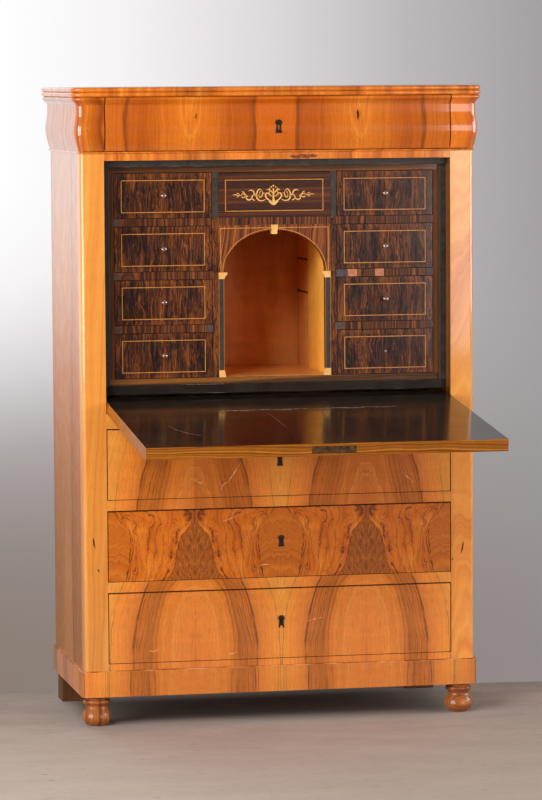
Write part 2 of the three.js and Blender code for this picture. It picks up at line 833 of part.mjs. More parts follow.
function buildWell() {
  add(
    "deck_board",
    block(-innerHalf, innerHalf, STILE_DEPTH, backFace, zDeck, zDeckTop),
    ebonised,
  );
  addPair(
    "well_strip",
    block(
      caseHalf + FIT_GAP,
      openingHalf + WELL_STRIP_LAP,
      STILE_DEPTH,
      STILE_DEPTH + WELL_STRIP_DEPTH,
      zDeckTop,
      zHeadBoard,
    ),
    ebonised,
  );
  add("case_floor", block(-caseHalf, caseHalf, caseFront, backFace, zDeckTop, zCaseFloor), rosewood);
  add(
    "case_ceiling",
    block(-caseHalf, caseHalf, caseFront, backFace, zCaseCeiling, zHeadBoard),
    rosewood,
  );
  add(
    "centre_shelf",
    block(
      -CENTRE_HALF_WIDTH,
      CENTRE_HALF_WIDTH,
      caseFront,
      backFace,
      zCentreShelf,
      zCentreShelf + INNER_RAIL,
    ),
    rosewood,
  );

  // A nest of drawers has a wall at each side and a board between each two drawers. The
  // wall towards the niche has the grooves of two shelves.
  const walls = [
    block(bayOuter, caseHalf, caseFront, backFace, zCaseFloor, zCaseCeiling),
    block(CENTRE_HALF_WIDTH, bayInner, caseFront, backFace, zCaseFloor, zCaseCeiling),
  ];
  const boards = [];
  for (let row = 1; row < INNER_ROWS; row += 1) {
    const top = zCaseFloor + row * rowPitch;
    boards.push(block(bayInner, bayOuter, caseFront, backFace, top - INNER_RAIL, top));
  }
  const grooves = DADO_SHARES.map((share) => {
    const middle = zCaseFloor + share * nicheHeight;
    return block(
      CENTRE_HALF_WIDTH - OVERRUN,
      CENTRE_HALF_WIDTH + DADO_DEPTH,
      DADO_START,
      backFace + OVERRUN,
      middle - DADO_HEIGHT / 2,
      middle + DADO_HEIGHT / 2,
    );
  });
  addPair("nest", cut(joined(...walls, ...boards), ...grooves), rosewood);
  add("arch_panel", archPanel(), rosewood);
}

// The fretted panel in front of the niche: two pilasters on spreading bases, with
// imposts that carry an arch, and a keystone that hangs below its crown.
function archPanel() {
  const outer = CENTRE_HALF_WIDTH - FIT_GAP;
  const inner = CENTRE_HALF_WIDTH - PILASTER_WIDTH;
  const bottom = zCaseFloor;
  const top = zCentreShelf;
  const spring = top - CROWN_MARGIN - ARCH_RISE;
  const impost = spring - IMPOST_HEIGHT;
  const edge = [
    [inner - PILASTER_BASE_SPREAD, bottom],
    [inner, bottom + PILASTER_BASE_HEIGHT],
    [inner, impost],
  ];
  for (const [reach, rise] of IMPOST_OUTLINE_SHARES) {
    edge.push([inner - reach * IMPOST_REACH, impost + rise * IMPOST_HEIGHT]);
  }
  for (let step = 0; step < ARCH_STEPS / 2; step += 1) {
    const angle = (step / (ARCH_STEPS / 2)) * (Math.PI / 2);
    const x = inner * Math.cos(angle);
    if (x > KEYSTONE_HALF) edge.push([x, spring + ARCH_RISE * Math.sin(angle)]);
  }
  edge.push([KEYSTONE_HALF, spring + ARCH_RISE]);
  edge.push([KEYSTONE_HALF, spring + ARCH_RISE - KEYSTONE_DROP]);
  const outline = [
    [outer, bottom],
    [outer, top],
    [-outer, top],
    [-outer, bottom],
    ...edge.map(([x, z]) => [-x, z]),
    ...edge.reverse(),
  ];
  return pushed(outline, "y", caseFront, caseFront + ARCH_THICKNESS);
}

// A small drawer: its front and box are one glued piece.
function innerDrawer(x0, x1, floor) {
  const low = floor + RUN_GAP;
  const high = floor + rowHeight - INNER_GAP;
  const left = x0 + INNER_GAP;
  const right = x1 - INNER_GAP;
  const boxFront = caseFront + INNER_FRONT;
  const front = block(left, right, caseFront, boxFront, low, high);
  const box = drawerBox({
    x0: left,
    x1: right,
    front: boxFront,
    back: backFace - INNER_BACK_GAP,
    low,
    high: high - INNER_BOX_DROP,
    wall: INNER_WALL,
    bottom: INNER_BOTTOM,
    raise: RUN_GAP,
  });
  return joined(front, box);
}

function knob(x, z, stub) {
  const outline = stub ? KNOB_STUB_SHARES : KNOB_OUTLINE_SHARES;
  const radius = stub ? KNOB_STUB_RADIUS : KNOB_RADIUS;
  const length = stub ? KNOB_STUB_LENGTH : KNOB_LENGTH;
  return turned(outline, radius, length).rotateX(Math.PI / 2).translate(x, caseFront, z);
}

function buildInnerDrawers() {
  const middle = (bayInner + bayOuter) / 2;
  for (const [side, sign] of [["left", -1], ["right", 1]]) {
    for (let row = 0; row < INNER_ROWS; row += 1) {
      const floor = zCaseFloor + (rowGaps - row) * rowPitch;
      const x0 = sign < 0 ? -bayOuter : bayInner;
      const x1 = sign < 0 ? -bayInner : bayOuter;
      const stub = sign > 0 && row === rowGaps;
      const number = row + 1;
      add(`inner_drawer_${side}_${number}`, innerDrawer(x0, x1, floor), rosewood);
      add(`knob_${side}_${number}`, knob(sign * middle, floor + rowHeight / 2, stub), bone);
    }
  }
  const top = zCentreShelf + INNER_RAIL;
  add("inner_drawer_centre", innerDrawer(-CENTRE_HALF_WIDTH, CENTRE_HALF_WIDTH, top), rosewood);
}

buildShell();
buildPlinthAndFeet();
buildRails();
buildHeadBoard();
buildAstragal();
buildTop();
buildLongDrawers();
buildFlap();
buildWell();
buildInnerDrawers();

const part = new THREE.Group();
part.add(secretaire);

export default part;
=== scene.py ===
# %% [markdown]
# # A fall front secretaire
# The real cabinet is a softwood carcass under walnut veneer, French polished, with a black
# writing well and rosewood drawers behind a drop front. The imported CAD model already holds
# every board in its place, so the scene starts from that frame. What it adds is what makes
# the boards furniture: grain and figure, inlaid lines, rounded arrises, turned feet,
# keyhole plates, and the light of a studio.

import math
from functools import partial

import bmesh
import bpy
from mathutils import Matrix, Vector
from mathutils.geometry import tessellate_polygon


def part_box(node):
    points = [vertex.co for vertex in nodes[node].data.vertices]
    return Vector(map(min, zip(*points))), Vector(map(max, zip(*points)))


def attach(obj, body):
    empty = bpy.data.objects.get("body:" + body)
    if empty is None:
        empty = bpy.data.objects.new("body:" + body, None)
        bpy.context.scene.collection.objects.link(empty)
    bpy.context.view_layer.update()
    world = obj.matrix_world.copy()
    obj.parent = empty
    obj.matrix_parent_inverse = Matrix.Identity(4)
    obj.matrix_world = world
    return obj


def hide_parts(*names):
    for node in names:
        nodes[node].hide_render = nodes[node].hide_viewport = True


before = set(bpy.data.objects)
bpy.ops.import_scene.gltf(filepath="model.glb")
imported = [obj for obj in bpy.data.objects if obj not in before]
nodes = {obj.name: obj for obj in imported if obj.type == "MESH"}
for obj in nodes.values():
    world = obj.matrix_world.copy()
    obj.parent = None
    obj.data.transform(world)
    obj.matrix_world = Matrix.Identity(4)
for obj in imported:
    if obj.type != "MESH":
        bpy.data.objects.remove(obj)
scene = bpy.context.scene
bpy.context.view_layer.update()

# %% [markdown]
# ## Drawing coordinates
# A cabinet maker measures depth from the face of the stiles, height from the floor and
# width from the middle, in millimetres. The frame is in metres and its origin lies further
# forward, so one function changes the drawing's numbers into the frame's.

# %% Drawing coordinates
MM = 0.001
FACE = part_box("stile_left")[0].y


def at(x, y, z):
    """A drawing point in millimetres as a point of the frame."""
    return Vector((x * MM, FACE + y * MM, z * MM))


def span(node):
    """A CAD node's box in drawing millimetres: x0, x1, y0, y1, z0, z1."""
    corners = [(c.x / MM, (c.y - FACE) / MM, c.z / MM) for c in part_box(node)]
    return [value for axis in zip(*corners) for value in axis]


print("stile", [round(v, 1) for v in span("stile_left")])

# %% [markdown]
# ## Camera
# The photographer stood about nine metres away, to the left and a little above the top,
# with a long lens. These numbers come from fitting a lens to the edges of the cabinet: the
# place in drawing millimetres, the turn and tilt in radians, and the focal length in
# pixels of an 800 pixel high picture. Building the camera's matrix from its own right, up
# and forward directions avoids any doubt about the order of rotations.

# %% Camera
STANDPOINT = (-1909.94, -9269.62, 1567.51)
YAW, PITCH, ROLL = 0.200899, 0.082547, -0.006336
FOCAL_PIXELS = 3910.76
PICTURE_HEIGHT = 800

forward = Vector(
    (math.sin(YAW) * math.cos(PITCH), math.cos(YAW) * math.cos(PITCH), -math.sin(PITCH))
)
level = Vector((math.cos(YAW), -math.sin(YAW), 0))
upward = level.cross(forward)
right = level * math.cos(ROLL) + upward * math.sin(ROLL)
up = upward * math.cos(ROLL) - level * math.sin(ROLL)

lens = bpy.data.cameras.new("camera")
lens.sensor_width = 36
lens.lens = FOCAL_PIXELS * lens.sensor_width / PICTURE_HEIGHT
lens.clip_end = 60
camera = bpy.data.objects.new("camera", lens)
scene.collection.objects.link(camera)
camera.matrix_world = Matrix.Translation(at(*STANDPOINT)) @ (
    Matrix((right, up, -forward)).transposed().to_4x4()
)
scene.camera = camera
print("lens", round(lens.lens, 1), "mm")

# %% [markdown]
# ## Colours
# Colours are written as the sRGB hex values that a picture shows, and shaders want linear
# light, so one function converts them.

# %% Colours


def linear(code):
    """An sRGB colour written #rrggbb, as linear RGBA."""
    channels = [int(code[i : i + 2], 16) / 255 for i in (1, 3, 5)]
    light = [c / 12.92 if c <= 0.04045 else ((c + 0.055) / 1.055) ** 2.4 for c in channels]
    return (*light, 1.0)


print("the middle grey #808080 is", round(linear("#808080")[0], 3), "of white's light")

# %% [markdown]
# ## Nodes
# A shader is a net of small nodes, and wood needs many. `add_node` adds any kind of them.
# A word after a dot makes the kind's main choice, as in Mix.MULTIPLY, and capitals alone,
# as in ADD, stand for a Math node that does this sum. Values fill the node's inputs in
# order, each a number, a colour or another node's output. Keywords in small letters name a
# setting, and those with a capital name an input. `blank` makes a material and ties the
# function to it, so that the cells below only say `put(...)`. A noise's scale is one over
# the size of its blotches, so 1 / 34 gives blotches of about 34 mm where positions are in
# millimetres.

# %% Nodes
MAIN_CHOICE = {
    "MapRange": "interpolation_type",
    "Math": "operation",
    "Mix": "blend_type",
    "TexNoise": "noise_dimensions",
    "TexVoronoi": "voronoi_dimensions",
    "VectorMath": "operation",
}
USUAL = {"MapRange": {"interpolation_type": "SMOOTHSTEP"}, "Mix": {"data_type": "RGBA"}}
print(len(MAIN_CHOICE), "kinds of node have a main choice")


def connect(socket, value):
    """Gives an input a value, a colour written #rrggbb or a link from another output."""
    if isinstance(value, bpy.types.NodeSocket):
        socket.id_data.links.new(value, socket)
    else:
        socket.default_value = linear(value) if isinstance(value, str) else value


def add_node(tree, kind, *values, out=0, **named):
    """Adds a shader node and gives its output, by number or name, or all for None."""
    if kind.isupper():
        kind = "Math." + kind
    kind, _, choice = kind.partition(".")
    node = tree.nodes.new("ShaderNode" + kind)
    settings = {**USUAL.get(kind, {}), **({MAIN_CHOICE[kind]: choice} if choice else {})}
    settings.update((name, value) for name, value in named.items() if name.islower())
    for name, value in settings.items():
        setattr(node, name, value)
    for socket, value in zip([s for s in node.inputs if s.enabled], values):
        connect(socket, value)
    for name, value in named.items():
        if name not in settings:
            connect(node.inputs[name], value)
    if isinstance(out, str):
        return node.outputs[out]
    outputs = [s for s in node.outputs if s.enabled]
    return outputs if out is None else outputs[out]


def blank(name):
    """A new material, the function that puts nodes into it, and its shader."""
    material = bpy.data.materials.new(name)
    material.use_nodes = True
    tree = material.node_tree
    return material, partial(add_node, tree), tree.nodes["Principled BSDF"]


def fill(shader, inputs):
    """Connects several named inputs of a shader."""
    for name, value in inputs.items():
        connect(shader.inputs[name], value)


# %% [markdown]
# Colour ramps and curves hold a list that is no input, so two functions fill it in. The
# others are small nets that wood uses again and again. `mottle` is a noise stretched along
# the grain, and `swung` moves a number to both sides by a noise, whose middle is 0.5.

# %% Small nets


def coloured(output, stops):
    """Gives the ramp with this output its (place, #rrggbb) stops."""
    elements = output.node.color_ramp.elements
    while len(elements) < len(stops):
        elements.new(1.0)
    for element, (where, code) in zip(elements, stops):
        element.position = where
        element.color = linear(code)
    return output


def drawn(output, points):
    """Gives the curve with this output its (in, out) points, both from 0 to 1."""
    mapping = output.node.mapping
    line = mapping.curves[0]
    line.points[0].location, line.points[-1].location = points[0], points[-1]
    for place in points[1:-1]:
        line.points.new(*place)
    mapping.update()
    return output


def shaded(put, colour, shade):
    """A colour made darker or paler by a number."""
    return put("Mix.MULTIPLY", 1.0, colour, put("CombineXYZ", shade, shade, shade))


def away(put, value, place):
    """How far a number is from a place."""
    return put("ABSOLUTE", put("SUBTRACT", value, place))


def swung(put, swing, amount, start):
    """A number moved to both sides by a noise."""
    return put("MULTIPLY_ADD", put("SUBTRACT", swing, 0.5), amount, start)


def mottle(put, point, squeeze, size, detail=3.0, rough=0.5, out=0):
    """Noise with blotches of about `size` millimetres, longer where `squeeze` is less."""
    squeezed = put("VectorMath.MULTIPLY", point, squeeze)
    return put("TexNoise", squeezed, 1 / size, detail, rough, out=out)


def swayed(put, point, size, amount, along=0.3):
    """Moves a point by a soft noise, longer along the grain than across it."""
    bend = mottle(put, point, (1.0, along, 1.0), size, 2.0, out="Color")
    bend = put("VectorMath.SUBTRACT", bend, (0.5, 0.5, 0.5))
    bend = put("VectorMath.MULTIPLY", bend, (amount * 2, amount * 2, amount * 2))
    return put("VectorMath.ADD", point, bend)


def millimetres(put):
    """The point on the piece in drawing millimetres. Every piece has its origin at the
    frame's, so the piece's own coordinates are the frame's, and stay with it as it moves."""
    moved = put("VectorMath.SUBTRACT", put("TexCoord", out="Object"), (0, FACE, 0))
    return put("VectorMath.MULTIPLY", moved, (1 / MM, 1 / MM, 1 / MM))


# %% [markdown]
# ## Polished wood
# Polished walnut shows three sizes of pattern: the figure, centimetres wide, where the cut
# meets the year rings; fibres, a millimetre or two across and very long; and pores, short
# dark dashes. The two small ones are the same in every board, so `finish_wood` adds them to
# whatever figure it is given. Real pores are 0.1 to 0.3 mm wide, which is finer than the
# picture can hold, so they are drawn near 1 mm. French polish is a thin clear coat of
# shellac over the wood. Its IOR is about 1.5, and it is smooth, so it gives the eye sharp
# white lines at the arrises and lets the colour underneath look wet.

# %% Polished wood
SHELLAC_IOR = 1.5
SHELLAC_ROUGHNESS = 0.07
FIBRE, PORE = 1.8, 1.1
WAVE, DULL_SPOT = 26, 45


def grain_axes(put, along):
    """Across the grain, along it and into the board, in millimetres."""
    x, y, z = put("SeparateXYZ", millimetres(put), out=None)
    if along == "round":
        return put("MULTIPLY_ADD", y, put("SIGN", x), x), z, 0.0
    if along == "drop":
        return x, put("MULTIPLY", y, -1.0), z
    return {"up": (x, z, y), "side": (y, z, x), "back": (x, y, z), "across": (z, x, y)}[along]


def finish_wood(
    put, shader, base, point, fibre=0.3, ripple=0.14, pores=0.3, gloss=0.34, coat=0.9, relief=0.12
):
    """Adds fibres, cross ripple, pores, polish and fine relief to a figure's colour. `coat`
    is how much polish is left, or how that changes with height."""
    thread = mottle(put, point, (1.0, 0.02, 1.0), FIBRE, 4.0, 0.65)
    wave = mottle(put, point, (0.3, 1.0, 0.3), WAVE, 2.0)
    dash = mottle(put, point, (1.0, 0.07, 1.0), PORE, 2.0)
    pore = put("MapRange", dash, 0.6, 0.7, 0.0, pores)
    shade = swung(put, thread, fibre * 2, 1.0)
    shade = swung(put, wave, ripple * 2, shade)
    shade = put("SUBTRACT", shade, pore)
    dull = put("TexNoise", point, 1 / DULL_SPOT, 3.0)
    if isinstance(coat, tuple):
        coat = put("MapRange", put("SeparateXYZ", millimetres(put), out=2), *coat)
    height = put("SUBTRACT", thread, pore)
    inputs = {
        "Base Color": shaded(put, base, shade),
        "Roughness": put("MapRange", dull, 0.3, 0.7, gloss - 0.04, gloss + 0.08),
        "IOR": SHELLAC_IOR,
        "Specular IOR Level": 0.25,
        "Coat Weight": coat,
        "Coat Roughness": SHELLAC_ROUGHNESS,
        "Normal": put("Bump", Strength=relief, Distance=0.0001, Height=height),
    }
    fill(shader, inputs)


print("fibres", FIBRE, "mm wide, pores", PORE, "mm, ripples", WAVE, "mm")

# %% [markdown]
# ## Plain boards
# A flat-sawn board cuts the year rings at a slant, which draws nested arches; a quartered
# one cuts them square and shows only lines. Both come from one rule: the colour depends on
# the distance from the heart of the tree, a line behind the board. `heart` is where that
# line lies, and `lean` how it tilts along the board. `band` and `line` are the widths in
# millimetres of the broad and of the fine rings, and `warp` is how far they stray. `strips`
# cuts the board into narrow pieces laid side by side, each from another tree, as on
# cross-grained mouldings.

# %% Plain boards


def board(
    name, stops, along="up", heart=(0.0, 60.0), lean=(0.02, 0.05), band=60.0, line=9.0,
    contrast=0.35, warp=14.0, strips=None, glued=None, painted_height_light=None, painted_light_patch=None, **finish
):
    """Wood whose colour runs through `stops`, from its darkest rings to its palest. `glued`
    is where a second board is glued on, `painted_height_light` a painted light and shade that
    change the tone with height. `painted_light_patch` gives x, z and a gain: the wood right of x
    and below z is painted paler, a pool of painted light."""
    material, put, shader = blank(name)
    u, v, w = grain_axes(put, along)
    if glued is not None:
        seam = put("MapRange", away(put, u, glued), 0.8, 2.6, 0.55, 1.0)
        second = put("GREATER_THAN", glued, u)
        u = put("MULTIPLY_ADD", second, 340.0, u)
    if strips:
        cells = {"W": u, "Scale": 1 / strips, "Randomness": 0.8}
        edge = put("TexVoronoi.1D", feature="DISTANCE_TO_EDGE", **cells)
        cell = put("TexVoronoi.1D", out="Color", **cells)
        red, green, blue = put("SeparateColor", cell, out=None)
        u = put("MULTIPLY_ADD", red, 900.0, u)
        v = put("MULTIPLY_ADD", green, 700.0, v)
        joint = put("MapRange", edge, 0.2 / strips, 0.6 / strips, 0.6, 1.0)
        tone = put("MULTIPLY", put("MapRange.LINEAR", blue, 0.0, 1.0, 0.82, 1.14), joint)
    bent = swayed(put, put("CombineXYZ", u, v, w), 70.0, warp, 0.2)
    bu, bv, bw = put("SeparateXYZ", bent, out=None)
    a = put("SUBTRACT", put("MULTIPLY_ADD", bv, -lean[0], bu), heart[0])
    b = put("SUBTRACT", put("MULTIPLY_ADD", bv, -lean[1], bw), heart[1])
    radius = put("VectorMath.LENGTH", put("CombineXYZ", a, b))
    wide = put("TexNoise.1D", radius, 1 / band, 2.0, 0.5)
    fine = put("TexNoise.1D", radius, 1 / line, 5.0, 0.65)
    mixture = put("MULTIPLY_ADD", fine, contrast, put("MULTIPLY", wide, 1 - contrast))
    base = coloured(put("ValToRGB", mixture), stops)
    if strips:
        base = shaded(put, base, tone)
    if glued is not None:
        base = shaded(put, base, seam)
    x, y, z = put("SeparateXYZ", millimetres(put), out=None)
    # Painted light and shade: the tone changes with height.
    if painted_height_light:
        base = shaded(put, base, put("MapRange", z, *painted_height_light))
    # A painted pool of light: right of x and below z the wood is paler.
    if painted_light_patch:
        beyond, under, gain = painted_light_patch
        right = put("MapRange", x, beyond - 10, beyond + 10)
        low = put("MapRange", z, under - 60, under + 60, gain - 1.0, 0.0)
        base = shaded(put, base, put("MULTIPLY_ADD", right, low, 1.0))
    finish_wood(put, shader, base, bent, **finish)
    return material


# %% [markdown]
# Each board of the cabinet is named for the wood and where it is used. The stiles are pale
# honey walnut, painted darker low down as painted shade, and the right one is painted paler
# low down as painted light. The sides are painted paler towards the top as a painted sheen.
# The small rails and the case round the drawers are rosewood or walnut cut across, and drawer
# boxes and back are plain unpolished oak and pine. The case walls beside the drawers and the
# stiles' inner sides are darker as painted shade, and the right frieze block and the niche's
# woods are paler as painted light. `heart`, `band` and `line` follow what each board shows
# in the photograph.

# %% Boards of the cabinet
# The stiles: painted shade low down, painted light at the lower right.
honey_walnut = board(
    "honey_walnut", [(0.34, "#c46e26"), (0.45, "#d98435"), (0.56, "#e1933e"), (0.7, "#eca854")],
    heart=(455, 90), lean=(0.012, 0.16), band=46, line=8, contrast=0.36, warp=26,
    painted_height_light=(120, 1000, 0.79, 1.0), painted_light_patch=(430, 700, 1.32), fibre=0.12, ripple=0.05,
    pores=0.12,
)
# The sides: painted darker low down and paler towards the top, a painted sheen.
side_walnut = board(
    "side_walnut", [(0.34, "#8e5224"), (0.46, "#a6632a"), (0.56, "#b87234"), (0.7, "#cc8a4c")],
    along="side", heart=(260, 700), lean=(0.004, 0.01), band=34, line=13, contrast=0.55, warp=4,
    glued=188.0, painted_height_light=(150, 1300, 0.74, 1.45), fibre=0.1, ripple=0.04, pores=0.12,
    coat=(650.0, 1420.0, 0.22, 1.0),
)
cross_walnut = board(
    "cross_walnut", [(0.3, "#a04c10"), (0.45, "#c4661c"), (0.6, "#da7c2a"), (0.75, "#e6923e")],
    along="round", heart=(120, 70), band=40, strips=95.0,
)
edge_walnut = board(
    "edge_walnut", [(0.34, "#4a2406"), (0.45, "#81450d"), (0.56, "#a46014"), (0.7, "#c07c26")],
    along="across", heart=(-30, 40), lean=(0.006, 0.02), band=8, line=2.6, contrast=0.6,
    warp=12, coat=0.25,
)
# The right frieze block is painted paler, as painted light.
block_walnut = board(
    "block_walnut", [(0.3, "#8a3d08"), (0.45, "#ae540f"), (0.6, "#c56819"), (0.75, "#d57c2a")],
    painted_light_patch=(400, 1700, 1.4), along="round", heart=(330, 40), band=30, line=7, warp=18,
)
case_walnut = board(
    "case_walnut", [(0.3, "#3e220c"), (0.5, "#6d3f16"), (0.7, "#945a20")], along="across",
    heart=(20, 40), band=24, line=5,
)
top_walnut = board(
    "top_walnut", [(0.3, "#7c4420"), (0.5, "#a0602e"), (0.7, "#b97a42")], along="across",
    heart=(260, 90), lean=(0.01, 0.02), band=40, line=8, coat=0.4,
)
# The case walls beside the drawers are darker than their wood: painted shade.
wall_walnut_painted_shade = board(
    "wall_walnut_painted_shade", [(0.3, "#3a1b0a"), (0.5, "#5e3014"), (0.7, "#7c4419")], heart=(20, 40),
    band=24, line=5, coat=0.0,
)
foot_walnut = board(
    "foot_walnut", [(0.32, "#54280c"), (0.45, "#8c4a1c"), (0.58, "#ab632c"), (0.72, "#c4824a")],
    heart=(440, 55), lean=(0.02, 0.3), band=22, line=5, contrast=0.5, gloss=0.42, coat=0.35,
)
rosewood_cross = board(
    "rosewood_cross",
    [(0.36, "#24120a"), (0.46, "#47220f"), (0.55, "#6c3715"), (0.66, "#8e4f1b"),
     (0.78, "#9e6226")],
    heart=(30, 60), band=9, line=3, contrast=0.45, warp=14, strips=42.0,
)
rosewood_flat = board(
    "rosewood_flat",
    [(0.34, "#140906"), (0.46, "#33170c"), (0.57, "#5b2c13"), (0.7, "#8a4c1e")], along="across",
    heart=(1280, 50), lean=(0.01, 0.03), band=10, line=2.5, contrast=0.5, warp=6,
)
arch_rosewood = board(
    "arch_rosewood",
    [(0.34, "#35170a"), (0.45, "#673012"), (0.56, "#8c481a"), (0.7, "#a86026")],
    heart=(-60, 30), lean=(0.12, 0.05), band=12, line=3, contrast=0.55, warp=40,
)
# The stiles' inner sides: a darker copy of their wood, as painted shade.
reveal_walnut_painted_shade = board(
    "reveal_walnut_painted_shade",
    [(0.36, "#3c1e08"), (0.46, "#683810"), (0.56, "#8c541c"), (0.7, "#b27430")], along="side",
    heart=(20, 300), lean=(0.0, 0.0), band=12, line=4, warp=1,
)
# The niche's woods are made paler than their own colour: painted light.
niche_pine_painted_light = board(
    "niche_pine_painted_light", [(0.3, "#ca7a38"), (0.5, "#e69850"), (0.7, "#f2ae66")], heart=(40, 50),
    lean=(0.01, 0.02), band=30, line=5, fibre=0.12, pores=0.05, coat=0.15,
)
niche_birch_painted_light = board(
    "niche_birch_painted_light", [(0.3, "#f5a238"), (0.5, "#fcb044"), (0.7, "#ffc058")], along="side",
    heart=(200, 60), band=40, line=6, fibre=0.08, pores=0.0, coat=0.15,
)
oak = board(
    "plain_oak", [(0.3, "#8a6a40"), (0.5, "#a5834f"), (0.7, "#b99861")], along="back",
    heart=(200, 60), gloss=0.6, coat=0.0, pores=0.5,
)
pine = board(
    "back_pine", [(0.3, "#94643a"), (0.5, "#b28351"), (0.7, "#c69a68")], heart=(30, 60),
    band=50, line=8, gloss=0.6, coat=0.0, pores=0.05,
)
rough_oak = board(
    "rough_oak", [(0.3, "#3c2212"), (0.5, "#553216"), (0.7, "#6b4324")], heart=(30, 60),
    gloss=0.55, coat=0.1,
)
print(len(bpy.data.materials), "woods")

# %% [markdown]
# ## Rosewood of the small drawers
# Rosewood is nearly black, with chestnut clouds stretched along the grain and hair-fine
# dark lines. The figure restarts in every row and on each side, as every drawer front is
# its own leaf. Outside the inlaid line the leaf runs into paler sapwood. A noise for the
# clouds and one for the lines are mixed and spread for contrast, and a colour ramp makes
# them wood, which gives finer and less even lines than a wave texture would.

# %% Rosewood
ROW = 129.3
ROWS_FOOT = 835.0
FRONT_MIDDLE = 275.25, 57.4
rosewood, put, shader = blank("rosewood")
u, v, w = grain_axes(put, "up")
row = put("FLOOR", put("DIVIDE", put("SUBTRACT", v, ROWS_FOOT), ROW))
inside_x = away(put, put("ABSOLUTE", u), FRONT_MIDDLE[0])
inside_z = away(put, put("MULTIPLY_ADD", row, -ROW, v), ROWS_FOOT + FRONT_MIDDLE[1])
outside_x = put("MapRange", inside_x, 98.0, 112.0)
outside = put("MAXIMUM", outside_x, put("MapRange", inside_z, 37.0, 52.0))
leaf = put("MULTIPLY_ADD", put("SIGN", u), 7.0, row)
leaf_u = put("MULTIPLY_ADD", leaf, 83.0, u)
leaf_v = put("MULTIPLY_ADD", leaf, 251.0, v)
point = put("CombineXYZ", leaf_u, leaf_v, w)
point = swayed(put, point, 50.0, 11.0, 0.7)
point = swayed(put, point, 13.0, 1.8, 0.5)
cloud = mottle(put, point, (1.0, 0.12, 1.0), 14, 3.0, 0.6)
hair = mottle(put, point, (1.0, 0.035, 1.0), 2.8, 3.0, 0.7)
tone = put("MULTIPLY_ADD", hair, 0.66, put("MULTIPLY", cloud, 0.34))
patch = mottle(put, point, (1.0, 0.3, 1.0), 38, 1.0)
tone = swung(put, patch, 0.2, tone)
tone = put("MULTIPLY_ADD", outside, 0.04, tone)
tone = swung(put, tone, 1.45, 0.487)
ROSE = [(0.33, "#110806"), (0.42, "#28120a"), (0.5, "#45200e"), (0.58, "#643212")]
ROSE += [(0.67, "#804318"), (0.8, "#9c581e")]
base = coloured(put("ValToRGB", tone), ROSE)
finish_wood(put, shader, base, point, fibre=0.3, gloss=0.3, relief=0.5)
print("rosewood restarts every", ROW, "mm")

# %% [markdown]
# ## Book-matched veneer
# The long drawers, the rails between them and the plinth are veneered from one flitch. Its
# leaves are opened like the pages of a book, so each is the mirror image of the next. Four
# leaves cover the width, and a ping-pong of the width folds all four onto one.

# %% Book-matched veneer
LEAF = 213.0


def bent_leaf(put, u, v, big, small):
    """The folded leaf's coordinates with a natural waviness, equal on every leaf."""
    s = put("PINGPONG", put("ADD", u, LEAF), LEAF)
    point = swayed(put, put("CombineXYZ", s, v), 60.0, big, 0.35)
    return swayed(put, point, 11.0, small, 0.4)


def leaf_joints(put, u, places, strength=0.3):
    """Thin dark lines where two leaves of veneer meet."""
    total = 0.0
    for place in places:
        joint = put("MapRange", away(put, u, place), 0.3, 0.9, strength, 0.0)
        total = put("ADD", joint, total)
    return put("SUBTRACT", 1.0, total)


print("four leaves of", LEAF, "mm")

# %% [markdown]
# On each pair of leaves the year rings stand as straight lines below and close to steep
# arches above. `radius` says which ring a point lies on, by that ring's distance from the
# pair's middle at the foot. The upper drawer goes on with the arches, drawn out to twice
# their height, and is painted browner in the middle except on its left leaf, a painted
# shadow of the open drop front. The rings gather in a brown band and stray from their place,
# three dark lines follow single rings, and golden lines lie nearer the middle. All distances
# were measured on the photographed drawers.

# %% Flitch
FLITCH = [(0.0, "#cf7328"), (0.16, "#d0762a"), (0.3, "#cc7222"), (0.44, "#c26a20")]
FLITCH += [(0.56, "#c0681f"), (0.65, "#d3782c"), (0.76, "#dc822e"), (0.84, "#da8a34")]
FLITCH += [(0.95, "#e2933c")]
ARCH_FOOT = 176.0
ARCH_BEND = 0.00115
BAND_MIDDLE = 122.0
HEART_LINES = 58.0
DARK_RINGS = ((153.0, 3.6, 0.8), (146.0, 1.6, 0.45), (211.0, 1.6, 0.5))


